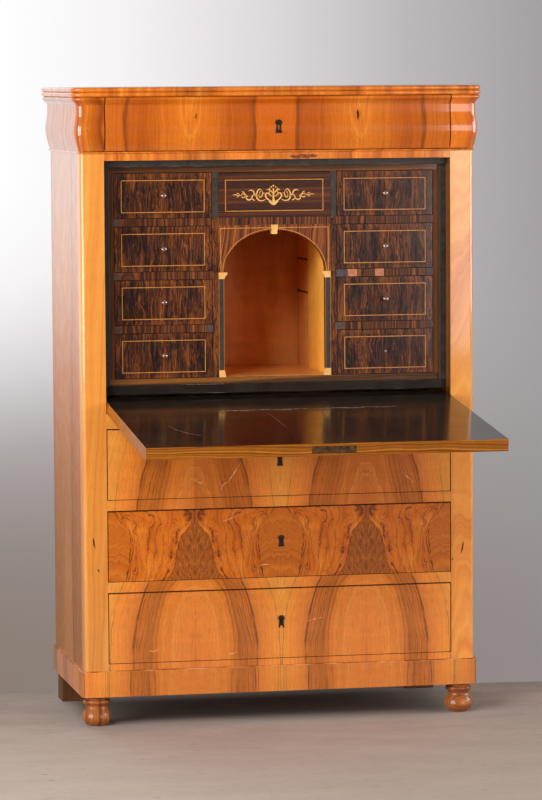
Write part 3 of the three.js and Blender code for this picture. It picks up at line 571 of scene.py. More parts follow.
def flitch(name, along, joints, bright=1.0, seam=0.12):
    """The veneer of the long drawers, rails and plinth."""
    material, put, shader = blank(name)
    u, v, w = grain_axes(put, along)
    leaf = put("FLOOR", put("DIVIDE", u, LEAF))
    point = bent_leaf(put, u, v, 10.0, 1.4)
    s, h, flat = put("SeparateXYZ", point, out=None)
    upper = put("MapRange", v, 470.0, 480.0)
    h = put("MULTIPLY_ADD", upper, put("MULTIPLY_ADD", h, -0.49, 15.5), h)
    above = put("MAXIMUM", put("SUBTRACT", h, ARCH_FOOT), 0.0)
    half = put("MULTIPLY", put("MULTIPLY", above, above), ARCH_BEND)
    radius = put("ADD", half, put("VectorMath.LENGTH", put("CombineXYZ", s, half)))
    base = coloured(put("ValToRGB", put("DIVIDE", radius, 260.0)), FLITCH)
    wander = mottle(put, point, (1.0, 0.22, 1.0), 30, 3.0)
    strayed = swung(put, wander, 26.0, radius)
    rings = put("MapRange", put("TexNoise.1D", strayed, 1 / 7, 6.0, 0.75), 0.4, 0.64)
    middle = away(put, strayed, BAND_MIDDLE)
    dense = put("MapRange", middle, 14.0, 52.0, 0.75, 0.16)
    broad = put("MapRange", put("TexNoise.1D", strayed, 1 / 26, 2.0, 0.65), 0.44, 0.6)
    broad = put("MULTIPLY", broad, put("MapRange", middle, 10.0, 54.0, 0.34, 0.0))
    base = put("Mix", broad, base, "#7a420f")
    # Painted shadow of the open drop front: the upper drawer is browner except on its left leaf.
    heart = put("MULTIPLY", upper, put("MapRange", leaf, -2.0, -1.0, 0.1, 1.0))
    heart = put("MULTIPLY", heart, put("MapRange", strayed, 70.0, 150.0, 0.6, 0.0))
    base = put("Mix", heart, base, "#a85516")
    clouds = put("TexNoise", put("CombineXYZ", u, v), 1 / 90, 3.0)
    fade = put("MapRange", clouds, 0.3, 0.65, 0.45, 1.0)
    dark = put("MULTIPLY", put("MULTIPLY", rings, dense), fade)
    base = put("Mix", dark, base, "#6e350f")
    golden = put("MapRange", put("TexNoise.1D", strayed, 1 / 12, 3.0, 0.65), 0.5, 0.62, 0.0, 0.3)
    near = put("MapRange", away(put, radius, HEART_LINES), 12.0, 36.0, 1.0, 0.0)
    golden = put("MULTIPLY", golden, near)
    base = put("Mix", golden, base, "#eba452")
    broken = mottle(put, point, (0.4, 0.5, 1.0), 22, 3.0)
    for place, width, strength in DARK_RINGS:
        line = put("MapRange", away(put, radius, place), 0.3, width, strength, 0.0)
        line = put("MULTIPLY", line, put("MapRange", broken, 0.34, 0.55, 0.25, 1.0))
        base = put("Mix", line, base, "#542a0e")
    tint = put("TexNoise.1D", put("MULTIPLY", leaf, 37.0), 1 / 9, 0.0, 0.65)
    shade = swung(put, tint, 0.3, bright)
    shade = put("MULTIPLY", shade, leaf_joints(put, u, joints, seam))
    finish_wood(put, shader, shaded(put, base, shade), point)
    return material


drawer_veneer = flitch("drawer_veneer", "up", (-LEAF, 0.0, LEAF))
plinth_veneer = flitch("plinth_veneer", "round", (-485, -420, -52, 57, 372, 426), 0.93, 0.6)
flap_veneer = flitch("flap_veneer", "drop", (-LEAF, 0.0, LEAF))
print("flitch with its brown band", BAND_MIDDLE, "mm from the middle of a pair of leaves")

# %% [markdown]
# ## Crotch veneer of the middle drawer
# The middle drawer wears crotch walnut, cut where a branch leaves the trunk. A dark flame
# stands at the middle of each pair of leaves, and a dark shape like a vase, wide in the
# middle, stands round the keyhole, cut in half again at both ends. Each outline is a curve
# of its half width, as a share of the leaf's, over the drawer's height, and a noise makes
# the flame's edge waver.

# %% Crotch veneer
B_LOW, B_HIGH = span("drawer_b_front")[4:]
FLAME = [(0, 0.34), (0.14, 0.26), (0.4, 0.205), (0.6, 0.165), (0.74, 0.1), (0.84, 0), (1, 0)]
VASE = [(0, 0.21), (0.3, 0.25), (0.55, 0.265), (0.78, 0.2), (1, 0.06)]
crotch_veneer, put, shader = blank("crotch_veneer")
u, v, w = grain_axes(put, "up")
point = bent_leaf(put, u, v, 9.0, 4.0)
s, h, flat = put("SeparateXYZ", point, out=None)
rise = put("MapRange.LINEAR", h, B_LOW, B_HIGH)
flame = drawn(put("FloatCurve", 1.0, rise), FLAME)
vase = drawn(put("FloatCurve", 1.0, rise), VASE)
from_flame = put("MULTIPLY_ADD", flame, -LEAF, s)
edge = mottle(put, point, (1.0, 0.7, 1.0), 13, 2.0)
from_flame = swung(put, edge, 11.0, from_flame)
from_vase = put("MULTIPLY_ADD", vase, -LEAF, put("SUBTRACT", LEAF, s))
width = put("MAXIMUM", put("ADD", from_flame, from_vase), 12.0)
share = put("DIVIDE", from_flame, width)

print("crotch veneer over", round(B_HIGH - B_LOW, 1), "mm")

# %% [markdown]
# Between the two outlines the rings flow from one over to the other, so the share of the
# way across drives a 1-D noise. A dark vein runs wherever that noise passes its middle
# value, with a brown zone on one side of it, which gives long, irregular veins that never
# cross. Above each flame stands a plume of short dark lines.

# %% Veins between the flames
cloud = mottle(put, point, (1.0, 0.4, 1.0), 34, 3.0, 0.55)
SWIRL = [(0.32, "#ab520b"), (0.46, "#c06113"), (0.58, "#cb6c19"), (0.72, "#da7f27")]
base = coloured(put("ValToRGB", cloud), SWIRL)
wander = mottle(put, point, (1.0, 0.5, 1.0), 40, 2.0)
ruffle = mottle(put, point, (1.0, 1.3, 1.0), 7, 3.0, 0.6)
tangle = put("MapRange", put("TexNoise", point, 1 / 48, 1.0), 0.46, 0.6, 5.0, 22.0)
field = swung(put, wander, 60.0, put("MULTIPLY", share, 170.0))
field = swung(put, ruffle, tangle, field)
breaks = put("MapRange", mottle(put, point, (1.0, 0.6, 1.0), 20, 3.0), 0.4, 0.56)
for size, shadow, strength in ((21.0, 0.5, 0.85), (7.0, 0.16, 0.5)):
    vein = put("TexNoise.1D", field, 1 / size, 0.0, 0.65)
    fading = put("MapRange", vein, 0.51, 0.64, shadow, 0.0)
    zone = put("MULTIPLY", put("MapRange", vein, 0.5, 0.51), fading)
    base = put("Mix", zone, base, "#8c4311")
    line = put("MapRange", away(put, vein, 0.5), 0.004, 0.026, strength, 0.0)
    base = put("Mix", put("MULTIPLY", line, breaks), base, "#4f2208")
plume = put("MapRange", s, 6.0, 34.0, 1.0, 0.0)
plume = put("MULTIPLY", plume, put("MapRange", rise, 0.7, 0.92))
hairs = put("MapRange", put("TexNoise.1D", s, 1 / 5, 3.0, 0.65), 0.44, 0.62, 0.05, 0.65)
base = put("Mix", put("MULTIPLY", plume, hairs), base, "#5e2b0b")
print("veins over", len(crotch_veneer.node_tree.nodes), "nodes so far")

# %% [markdown]
# Inside the flame the fibres spread like a feather, so its noise is stretched along a
# slanting line. The vase shows rings that arch over the middle. Dark rims close both.

# %% Flames and vases
slant = put("CombineXYZ", put("MULTIPLY_ADD", h, -0.22, s), put("MULTIPLY", h, 0.2))
feather = put("TexNoise", slant, 1 / 4, 4.0, 0.65)
FLAME_TONE = [(0.36, "#74370d"), (0.5, "#904a13"), (0.64, "#ac611d")]
flame_tone = coloured(put("ValToRGB", feather), FLAME_TONE)
arcs = put("MULTIPLY_ADD", s, -0.35, h)
arcs = put("TexNoise.1D", put("MULTIPLY_ADD", wander, 90.0, arcs), 1 / 22, 5.0, 0.7)
VASE_TONE = [(0.34, "#a95310"), (0.5, "#b55e13"), (0.66, "#c26b1b")]
vase_tone = coloured(put("ValToRGB", arcs), VASE_TONE)
base = put("Mix", put("MapRange", from_flame, -1.5, 1.0, 1.0, 0.0), base, flame_tone)
base = put("Mix", put("MapRange", from_vase, -1.5, 1.0, 1.0, 0.0), base, vase_tone)
for offset, width, strength in ((0.0, 2.0, 0.9), (5.5, 1.4, 0.7)):
    rim = away(put, from_vase, offset)
    rim = put("MULTIPLY", put("MapRange", rim, 0.4, width, strength, 0.0), breaks)
    base = put("Mix", rim, base, "#3f1906")
rim = put("MapRange", put("ABSOLUTE", from_flame), 0.3, 1.8, 0.55, 0.0)
base = put("Mix", rim, base, "#4a200a")
shade = leaf_joints(put, u, (-LEAF, 0.0, LEAF), 0.15)
finish_wood(put, shader, shaded(put, base, shade), point, ripple=0.1)
print("crotch veneer of", len(crotch_veneer.node_tree.nodes), "nodes")

# %% [markdown]
# ## Veneer of the frieze drawer
# The frieze is redder. Two broad leaves with pale middles and dark edges flank a narrow
# plain one at the keyhole, and a strip closes each end. The right half mirrors the left, so
# one colour ramp over the distance from the keyhole paints both.

# %% Frieze veneer
FRIEZE = [(0.0, "#c65e10"), (0.105, "#c86010"), (0.118, "#87400a"), (0.15, "#b0510d")]
FRIEZE += [(0.26, "#b5540e"), (0.36, "#cb6815"), (0.5, "#d27119"), (0.6, "#c56413")]
FRIEZE += [(0.72, "#ad500c"), (0.79, "#b8580f"), (0.816, "#863f0b"), (0.826, "#c26014")]
FRIEZE += [(1.0, "#be6115")]
FRIEZE_HALF, FRIEZE_LEAF = 448.0, 208.0
FRIEZE_JOINTS = (-382, -58, 48, 356, 392)
frieze_veneer, put, shader = blank("frieze_veneer")
u, v, w = grain_axes(put, "up")
s = put("ABSOLUTE", put("ADD", u, 8.0))
point = put("CombineXYZ", s, v)
bend = mottle(put, point, (1.0, 0.3, 1.0), 50, 2.0)
bent = swung(put, bend, 30.0, s)
base = coloured(put("ValToRGB", put("MapRange.LINEAR", bent, 0.0, FRIEZE_HALF)), FRIEZE)
a = put("SUBTRACT", bent, FRIEZE_LEAF)
arch = put("VectorMath.LENGTH", put("CombineXYZ", a, put("MULTIPLY_ADD", v, -0.3, 452.0)))
golden = put("MapRange", put("TexNoise.1D", arch, 1 / 16, 4.0, 0.6), 0.5, 0.68, 0.0, 0.55)
near = put("MapRange", put("ABSOLUTE", a), 40.0, 110.0, 1.0, 0.0)
golden = put("MULTIPLY", golden, near)
base = put("Mix", golden, base, "#e8902c")
lines = put("TexNoise.1D", bent, 1 / 8, 6.0, 0.7)
shade = swung(put, lines, 0.6, 1.0)
shade = put("MULTIPLY", shade, leaf_joints(put, u, FRIEZE_JOINTS))
finish_wood(put, shader, shaded(put, base, shade), put("CombineXYZ", bent, v))

# %% [markdown]
# ## Black polish, inlay, metal and bone
# The writing well is pearwood stained black under polish, so smooth that it mirrors the
# drawers. Its tint is a very dark brown; what the eye sees is the clear coat, with faint
# smears. Inlaid lines are maple, which yellows under shellac. Worn edges have lost their
# polish and show pale wood in places, and their pale and grey colours are also a painted
# highlight along the arris. Patches are dull, as putty and bare wood are. Hinge plates are
# brass with a warm glint, and keyhole plates sheet iron, browned by age, which hardly shines.
# Bone takes a high polish: its coat has an IOR of 2, more than a real one's 1.5, because
# each knob's white glint is smaller than a pixel of the picture.

# %% Black polish, inlay, metal and bone


def polished(name, stops, size, gloss, coat=0.6, metallic=0.0, level=0.3, coat_ior=1.5):
    """A smooth material whose colour and roughness vary in soft patches. `size` is that of
    a patch in millimetres, and `gloss` is the least roughness."""
    material, put, shader = blank(name)
    patch = put("TexNoise", millimetres(put), 1 / size, 5.0, 0.6)
    inputs = {
        "Base Color": coloured(put("ValToRGB", patch), stops),
        "Roughness": put("MapRange", patch, 0.3, 0.7, gloss, gloss * 1.6),
        "Specular IOR Level": level,
        "Metallic": metallic,
        "Coat Weight": coat,
        "Coat Roughness": gloss * 0.7,
        "Coat IOR": coat_ior,
    }
    fill(shader, inputs)
    return material


BLACK = [(0.3, "#1d1612"), (0.7, "#2e241d")]
# Pale and grey edge colours: wear and a painted highlight along the arris.
WORN_WALNUT_PAINTED_HIGHLIGHT = [(0.4, "#5e2d0d"), (0.5, "#a8622e"), (0.7, "#deb48a")]
WORN_ROSEWOOD_PAINTED_HIGHLIGHT = [(0.42, "#1a0e09"), (0.54, "#4a342a"), (0.64, "#8f7c70")]
WORN_BLACK_PAINTED_HIGHLIGHT = [(0.42, "#1d1a18"), (0.56, "#3f3a37"), (0.66, "#867f7a")]
BONE = [(0.35, "#553526"), (0.65, "#946c58")]
black_polish = polished("black_polish", BLACK, 70, 0.14, 0.4, level=0.14)
dull_black = polished("dull_black", [(0.3, "#2a221c"), (0.7, "#463a31")], 12, 0.4, 0.2)
maple = polished("maple", [(0.35, "#dd9f4e"), (0.65, "#f0b869")], 14, 0.3, 0.4)
line_maple = polished("line_maple", [(0.35, "#b8702a"), (0.65, "#d38c3c")], 14, 0.3, 0.4)
patch_grey = polished("patch_grey", [(0.35, "#3f3332"), (0.65, "#5c4b49")], 9, 0.4, 0.2)
patch_salmon = polished("patch_salmon", [(0.35, "#a8603c"), (0.65, "#c67f57")], 9, 0.4, 0.2)
worn_walnut_painted_highlight = polished("worn_walnut_painted_highlight", WORN_WALNUT_PAINTED_HIGHLIGHT, 60, 0.4, 0.1)
worn_rosewood_painted_highlight = polished("worn_rosewood_painted_highlight", WORN_ROSEWOOD_PAINTED_HIGHLIGHT, 30, 0.4, 0.2)
worn_black_painted_highlight = polished("worn_black_painted_highlight", WORN_BLACK_PAINTED_HIGHLIGHT, 80, 0.3, 0.3)
shadow_gap = polished("shadow_gap", [(0.3, "#120a06"), (0.7, "#20120a")], 9, 0.8, 0.0)
bone = polished("bone", BONE, 5, 0.06, 1.0, level=1.0, coat_ior=2.0)
brass = polished("brass", [(0.35, "#80602a"), (0.65, "#c79b4e")], 7, 0.28, 0.0, 1.0)
iron = polished("sheet_iron", [(0.35, "#26221f"), (0.65, "#4f4740")], 5, 0.34, 0.0, 1.0)
lock_iron = polished("lock_iron", [(0.35, "#3c2a18"), (0.65, "#684c2e")], 9, 0.4, 0.0, 0.4)
print(len(bpy.data.materials), "materials so far")

# %% [markdown]
# ## Making pieces
# A shape here is a list of points and a list of faces. `piece` turns it into an object that
# rides on a body, so that it moves with its drawer or drop front. It shades round work
# smoothly and keeps edges over 35 degrees crisp.

# %% Making pieces


def piece(name, body, shape, materials, picks=None, replaces=()):
    """One mesh from a shape's frame points and faces. `picks` gives each face's material
    number. The piece takes the place of the CAD nodes in `replaces`."""
    points, faces = shape[:2]
    mesh = bpy.data.meshes.new(name)
    mesh.from_pydata([tuple(p) for p in points], [], faces)
    for number, pick in enumerate(picks or []):
        mesh.polygons[number].material_index = pick
    work = bmesh.new()
    work.from_mesh(mesh)
    bmesh.ops.remove_doubles(work, verts=work.verts, dist=1e-6)
    bmesh.ops.recalc_face_normals(work, faces=work.faces)
    work.to_mesh(mesh)
    work.free()
    for material in materials:
        mesh.materials.append(material)
    mesh.shade_smooth()
    mesh.set_sharp_from_angle(angle=math.radians(35))
    thing = bpy.data.objects.new(name, mesh)
    scene.collection.objects.link(thing)
    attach(thing, body)
    if replaces:
        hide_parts(*replaces)
    return thing


print(len(nodes), "CAD nodes wait for their finish")

# %% [markdown]
# ## Shapes
# Three makers' moves cover nearly every shape. A **prism** is sheet or board sawn to an
# outline, with holes. A **loft** joins equal rings of points, for mouldings. **Turning**
# spins an outline, for feet and knobs. Working with lists of points, rather than with
# modifiers, keeps every size in the drawing's millimetres.

# %% Shapes


def loft(rings, capped=True):
    """Points and faces that join closed rings of equal length."""
    count = len(rings[0])
    faces = []
    for tier in range(len(rings) - 1):
        for step in range(count):
            a = tier * count + step
            b = tier * count + (step + 1) % count
            faces.append((a, b, b + count, a + count))
    if capped:
        faces.append(tuple(range(count - 1, -1, -1)))
        faces.append(tuple(range((len(rings) - 1) * count, len(rings) * count)))
    return [p for ring in rings for p in ring], faces


def prism(loops, near, far, where):
    """A sheet sawn to the outline loops[0] with holes loops[1:]. `where` turns (a, b, depth)
    into a frame point."""
    flat = [p for loop in loops for p in loop]
    sheets = tessellate_polygon([[Vector((a, b, 0)) for a, b in loop] for loop in loops])
    points = [where(a, b, near) for a, b in flat] + [where(a, b, far) for a, b in flat]
    count = len(flat)
    faces = [tuple(t) for t in sheets] + [tuple(i + count for i in reversed(t)) for t in sheets]
    start = 0
    for loop in loops:
        for step in range(len(loop)):
            a, b = start + step, start + (step + 1) % len(loop)
            faces.append((a, b, b + count, a + count))
        start += len(loop)
    return points, faces


def gathered(parts):
    """Several (points, faces) joined into one, with each part's number for every face."""
    points, faces, picks = [], [], []
    for number, (some, more) in enumerate(parts):
        faces += [tuple(i + len(points) for i in face) for face in more]
        picks += [number] * len(more)
        points += some
    return points, faces, picks


def smooth_line(points, steps=5):
    """More points on a soft curve through the given ones (Catmull-Rom)."""
    made = []
    for i in range(len(points) - 1):
        last = points[min(i + 2, len(points) - 1)]
        four = points[max(i - 1, 0)], points[i], points[i + 1], last
        for step in range(steps):
            t = step / steps
            weights = (
                (-t + 2 * t**2 - t**3) / 2,
                (2 - 5 * t**2 + 3 * t**3) / 2,
                (t + 4 * t**2 - 3 * t**3) / 2,
                (t**3 - t**2) / 2,
            )
            made.append(tuple(sum(w * p[k] for w, p in zip(weights, four)) for k in (0, 1)))
    return [*made, tuple(points[-1])]


def turned(outline, where, steps=48):
    """(radius, height) points spun round; `where` places (x, y, height)."""
    turns = [2 * math.pi * step / steps for step in range(steps)]
    rings = [[where(r * math.cos(t), r * math.sin(t), h) for t in turns] for r, h in outline]
    return loft(rings)


def front(depth):
    """Places an outline drawn in width and height at a depth behind the stiles' faces."""
    return lambda x, z, deeper: at(x, depth + deeper, z)


def oblong(a0, a1, b0, b1):
    """The four corners of a rectangle."""
    return [(a0, b0), (a1, b0), (a1, b1), (a0, b1)]


def upright(plan_line, heights):
    """A loft of one outline in plan, raised through several heights."""
    return loft([[at(x, y, z) for x, y in plan_line] for z in heights])


print("a box sawn as a prism has", len(prism([oblong(0, 1, 0, 1)], 0, 1, at)[1]), "faces")

# %% [markdown]
# ## Finishes on the CAD boards
# A CAD board whose shape is right stays and takes a material. Some are two boards glued
# together, a walnut rail in front and a plain board behind, so their faces choose by depth.
# The drop front's faces choose by the way they look: black inside, veneer outside, solid
# walnut at the edges.

# %% Finishes on the CAD boards


def dress(node, *materials, pick=None):
    """Gives a CAD node its materials; `pick` chooses one for each face."""
    mesh = nodes[node].data
    mesh.materials.clear()
    for material in materials:
        mesh.materials.append(material)
    if pick:
        for face in mesh.polygons:
            face.material_index = pick(face)


def behind(depth):
    """0 for a face in front of a depth, 1 for one behind it."""
    return lambda face: int(face.center.y > at(0, depth, 0).y)


def inward(face):
    """1 for the side of a stile that looks into the opening."""
    return int(face.normal.x * face.center.x < -0.3 * abs(face.center.x))


SIDES = {"left": -1, "right": 1}
SMALL = [f"{side}_{row}" for side in SIDES for row in range(1, 5)]
STILE_DEPTH = span("stile_left")[3]
SMALL_FRONT = 64
for node in ("bottom_board", "dust_board_ab", "dust_board_bc", "fall_rail"):
    dress(node, drawer_veneer, pine, pick=behind(STILE_DEPTH))
dress("astragal_board", cross_walnut, side_walnut, pick=behind(STILE_DEPTH))
dress("inner_drawer_centre", rosewood_flat, oak, pick=behind(SMALL_FRONT))
WHOLE = {
    "back_panel": pine, "plinth": plinth_veneer, "cornice_top": cross_walnut,
    "head_board": dull_black, "deck_board": black_polish, "case_floor": case_walnut,
    "case_ceiling": case_walnut, "centre_shelf": rosewood_flat, "arch_panel": rosewood,
    "flap_lock": lock_iron, "flap_lock_bolt": lock_iron, "drawer_a_front": drawer_veneer,
    "drawer_b_front": crotch_veneer, "drawer_c_front": drawer_veneer,
    "frieze_drawer_front": frieze_veneer,
}
for drawer in ("frieze_drawer", "drawer_a", "drawer_b", "drawer_c"):
    WHOLE[f"{drawer}_box"] = oak
BOTH_SIDES = {
    "side_panel": side_walnut, "hinge_plate": brass, "flap_pivot": brass,
    "foot_rear": rough_oak, "foot_front": foot_walnut, "frieze_block": block_walnut,
    "well_strip": dull_black, "nest": rosewood,
}
for side in SIDES:
    WHOLE |= {f"{node}_{side}": material for node, material in BOTH_SIDES.items()}
    # The inner side of each stile takes the darker wood, as painted shade.
    dress(f"stile_{side}", honey_walnut, reveal_walnut_painted_shade, pick=inward)
for place in SMALL:
    WHOLE[f"knob_{place}"] = bone
    dress(f"inner_drawer_{place}", rosewood, oak, pick=behind(SMALL_FRONT))
for node, material in WHOLE.items():
    dress(node, material)


def flap_side(face):
    """0 for the drop front's black side, 1 for its veneer, 2 for its edges."""
    if face.normal.z > 0.7:
        return 0
    return 1 if face.normal.z < -0.7 else 2


dress("flap_board", black_polish, flap_veneer, edge_walnut, pick=flap_side)
print(len(nodes), "CAD nodes dressed")

# %% [markdown]
# ## Softened and worn edges
# No arris on an old cabinet is razor sharp. Hands and dusting round it to half a millimetre
# or more, and the rounding catches a thin line of light. It could be modelled, but a bevel
# modifier does it for any CAD board once its triangles are welded into flat faces. On the
# drawers and the black boards the rounding also takes a pale material: partly bare wood where
# hands wear the edges, partly a painted highlight along the arris, pale on the drawers and
# grey on the black boards.

# %% Softened and worn edges


def soften(node, width, wear_and_highlight=None):
    """Rounds the arrises of a boxy CAD node, after its flat triangles are joined.
    `wear_and_highlight` is
    the material of the rounded edges: wear with a painted highlight along the arris."""
    thing = nodes[node]
    weld = thing.modifiers.new("weld", "WELD")
    weld.merge_threshold = 1e-6
    plane = thing.modifiers.new("plane", "DECIMATE")
    plane.decimate_type = "DISSOLVE"
    plane.angle_limit = math.radians(1)
    plane.delimit = {"MATERIAL"}
    bevel = thing.modifiers.new("arris", "BEVEL")
    bevel.width = width * MM
    bevel.segments = 2
    bevel.limit_method = "ANGLE"
    bevel.angle_limit = math.radians(40)
    bevel.harden_normals = True
    if wear_and_highlight:
        bevel.material = len(thing.data.materials)
        thing.data.materials.append(wear_and_highlight)


# What the names start with: the rounding's width in millimetres, and its wear and painted
# highlight.
EDGE_WEAR_AND_HIGHLIGHT = {
    ("dust_board", "bottom_board", "case_", "centre_shelf", "well_strip"): (0.5, None),
    ("inner_drawer",): (0.6, worn_rosewood_painted_highlight),
    ("drawer_a_front", "drawer_b_front", "drawer_c_front"): (1.0, worn_walnut_painted_highlight),
    ("head_board", "deck_board"): (1.0, worn_black_painted_highlight),
    ("flap_board", "foot_rear", "flap_lock"): (0.9, None),
}
for starts, (width, wear_and_highlight) in EDGE_WEAR_AND_HIGHLIGHT.items():
    for node in nodes:
        if node.startswith(starts) and node != "flap_lock_bolt":
            soften(node, width, wear_and_highlight)
print(sum(any(m.type == "BEVEL" for m in n.modifiers) for n in nodes.values()), "softened boards")

# %% [markdown]
# ## Mouldings
# The plinth, the swelling frieze and the cornice run round the front and both sides with
# rounded corners. On the bench each would be planed in lengths and mitred; here each is a
# loft of the plan outline, set out further or less at every height. The CAD has the same
# outlines with fewer facets, so these pieces replace its nodes with smooth ones.

# %% Plan outline and profiles
HALF = span("stile_right")[1]
DEEP = span("side_panel_right")[3]
OPENING = span("stile_right")[0]
CORNER = 11.0
BACK_EDGE = HALF - 22 + 0.3
BACK_FACE = span("back_panel")[2] - 0.3


def plan(proud, back=DEEP, steps=10):
    """The carcass's plan at some distance outside it, from back left to back right."""
    points = [(-HALF - proud, back)]
    inset = max(CORNER, -proud)
    reach = max(CORNER + proud, 0.0)
    for side in (-1, 1):
        for step in range(steps + 1):
            turn = math.pi / 2 * step / steps
            angle = math.pi + turn if side < 0 else turn - math.pi / 2
            x = side * (HALF - inset) + reach * math.cos(angle)
            points.append((x, inset + reach * math.sin(angle)))
    return [*points, (HALF + proud, back)]


def half_round(low, high, proud, steps=10):
    """(height, proud) of a bead between two heights."""
    radius = (high - low) / 2
    turns = [math.pi * (step / steps - 0.5) for step in range(steps + 1)]
    return [(low + radius * (1 + math.sin(t)), proud - radius * (1 - math.cos(t))) for t in turns]


ZF, ZC = span("frieze_block_left")[4:]
TOE, BELLY, NECK, COVE, BEAD = 2.0, 12.5, 7.5, 16.5, 19.5


def frieze_profile(steps=12):
    """(height, proud) from the frieze's toe to the bead under the cornice."""
    line = []
    for step in range(steps):
        t = step / steps
        line.append((0.385 * t, TOE + (BELLY - TOE) * math.sin(t * math.pi / 2)))
    for step in range(steps):
        t = step / steps
        fall = (BELLY - NECK) * (1 - math.cos(math.pi * t)) / 2
        line.append((0.385 + 0.335 * t, BELLY - fall))
    line.append((0.72, NECK))
    for step in range(steps + 1):
        t = step / steps
        line.append((0.82 + 0.1 * t, NECK + (COVE - NECK) * (1 - math.cos(t * math.pi / 2))))
    line = [(ZF + share * (ZC - ZF), proud) for share, proud in line]
    return line + half_round(line[-1][0], ZC, BEAD)[1:]


print("frieze from", round(ZF, 1), "to", round(ZC, 1))

# %% [markdown]
# The plinth stands 7.5 mm proud of the carcass. Its upper arris is pale, worn wood and a
# painted highlight, which is the thin bright line over it. The loft goes up outside and down
# inside, so one closed wall comes out. Behind it are four softwood blocks that the feet are
# fixed to.

# %% Plinth
ZP, ZB = span("plinth")[4:]
PROUD, INSIDE = 7.5, -12.5
heights = [(ZP, 6.9), (ZP + 0.6, PROUD), (ZP + 1.6, PROUD), (ZB - 2.6, PROUD)]
heights += [(ZB - 1.6, PROUD), (ZB - 0.9, 7.3), (ZB - 0.3, 6.7), (ZB, 5.9)]
rings = [[at(x, y, z) for x, y in plan(proud)] for z, proud in heights]
for z in (ZB, ZP):
    rings.append([at(x, y, z) for x, y in plan(INSIDE, DEEP - 20)])
walls = loft([*rings, rings[0]], capped=False)
blocks = []
for x0, x1 in ((-472.5, -424.5), (424.5, 472.5)):
    for y0, y1 in ((12.5, 60.5), (414, 462)):
        blocks.append(upright(oblong(x0, x1, y0, y1), (ZP, ZB)))
points, faces, picks = gathered([walls, *blocks])
top_arris = 4 * len(plan(0)), 7 * len(plan(0))
piece(
    "plinth_frame", "carcass", (points, faces), [plinth_veneer, pine, worn_walnut_painted_highlight],
    [2 if top_arris[0] <= n < top_arris[1] else min(p, 1) for n, p in enumerate(picks)],
    replaces=["plinth"],
)
print("plinth", round(ZB - ZP, 1), "mm tall")

# %% [markdown]
# Beside the frieze drawer a block of the same section turns each corner. It starts 2 mm
# proud, swells to 12.5, falls back to a neck and ends in a cove and a bead. The block is
# lofted upward, because only its distance from the carcass changes with height.

# %% Frieze corners
for side, sign in SIDES.items():
    rings = []
    for z, proud in frieze_profile():
        ring = [(sign * OPENING, -proud)]
        ring += [(sign * x, y) for x, y in plan(proud) if x > 0]
        ring += [(sign * BACK_EDGE, DEEP), (sign * BACK_EDGE, BACK_FACE)]
        ring += [(sign * OPENING, BACK_FACE)]
        rings.append([at(x, y, z) for x, y in ring])
    piece(
        f"frieze_corner_{side}", "carcass", loft(rings), [block_walnut],
        replaces=[f"frieze_block_{side}"],
    )
print("two frieze corners")

# %% [markdown]
# Two half-round beads, one on the other, make the cornice. A bevel could round the edge of
# a box once, but not draw two beads, so the section is two half circles, and each height of
# it is one ring of the loft.

# %% Cornice
ZT = span("cornice_top")[5]
middle = (ZC + ZT) / 2
EAVES = 21.5
profile = half_round(ZC, middle, EAVES) + half_round(middle, ZT, EAVES)[1:]
points, faces = loft([[at(x, y, z) for x, y in plan(proud)] for z, proud in profile])
picks = [0] * (len(faces) - 1) + [1]
piece(
    "cornice", "carcass", (points, faces), [cross_walnut, top_walnut], picks,
    replaces=["cornice_top"],
)
print("cornice at", round(ZT), "mm")

# %% [markdown]
# ## Frieze drawer front
# It is a thick board planed to the frieze's own swelling line, so its section is that
# profile closed by a flat back, pushed from end to end.

# %% Frieze drawer front
x0, x1, y0, y1, low, high = span("frieze_drawer_front")
section = [(-proud, z) for z, proud in frieze_profile() if low < z < high]
section = [(-TOE - 0.02, low), *section, (section[-1][0] + 0.3, high), (y1, high), (y1, low)]
rings = []
for x, inset in ((x0, 0.5), (x0 + 0.5, 0.0), (x1 - 0.5, 0.0), (x1, 0.5)):
    ring = []
    for y, z in section:
        ring.append(at(x, y + (inset if y < 15 else 0), min(max(z, low + inset), high - inset)))
    rings.append(ring)
piece(
    "frieze_front", "frieze_drawer", loft(rings), [frieze_veneer],
    replaces=["frieze_drawer_front"],
)
print("frieze drawer", round(x1 - x0), "x", round(high - low), "mm")

# %% [markdown]
# ## Facing of the stiles
# A stile's outer corner is a quarter round of 11 mm. A veneer-thin facing over the CAD
# stile gives it a smooth curve, which is what draws the long white highlight.

# %% Stile facings
z0, z1 = span("stile_left")[4:]
for side, sign in SIDES.items():
    skin = 0.06
    outer = [(sign * x, y) for x, y in plan(skin, STILE_DEPTH, 14) if x > 0]
    inner = [(sign * x, y) for x, y in plan(-1.0, STILE_DEPTH, 14) if x > 0]
    ring = [(sign * OPENING, -skin), *outer, *reversed(inner), (sign * OPENING, 1.0)]
    piece(
        f"stile_facing_{side}", "carcass", upright(ring, (z0, z1)), [honey_walnut],
    )
print("facings of", round(z1 - z0), "mm")

# %% [markdown]
# ## Turned feet
# The front feet are turned: a collar, a hollow neck and a full belly with a faint ridge
# left by the tool. On a lathe the gouge follows the outline while the wood spins, and here
# the outline is spun instead.

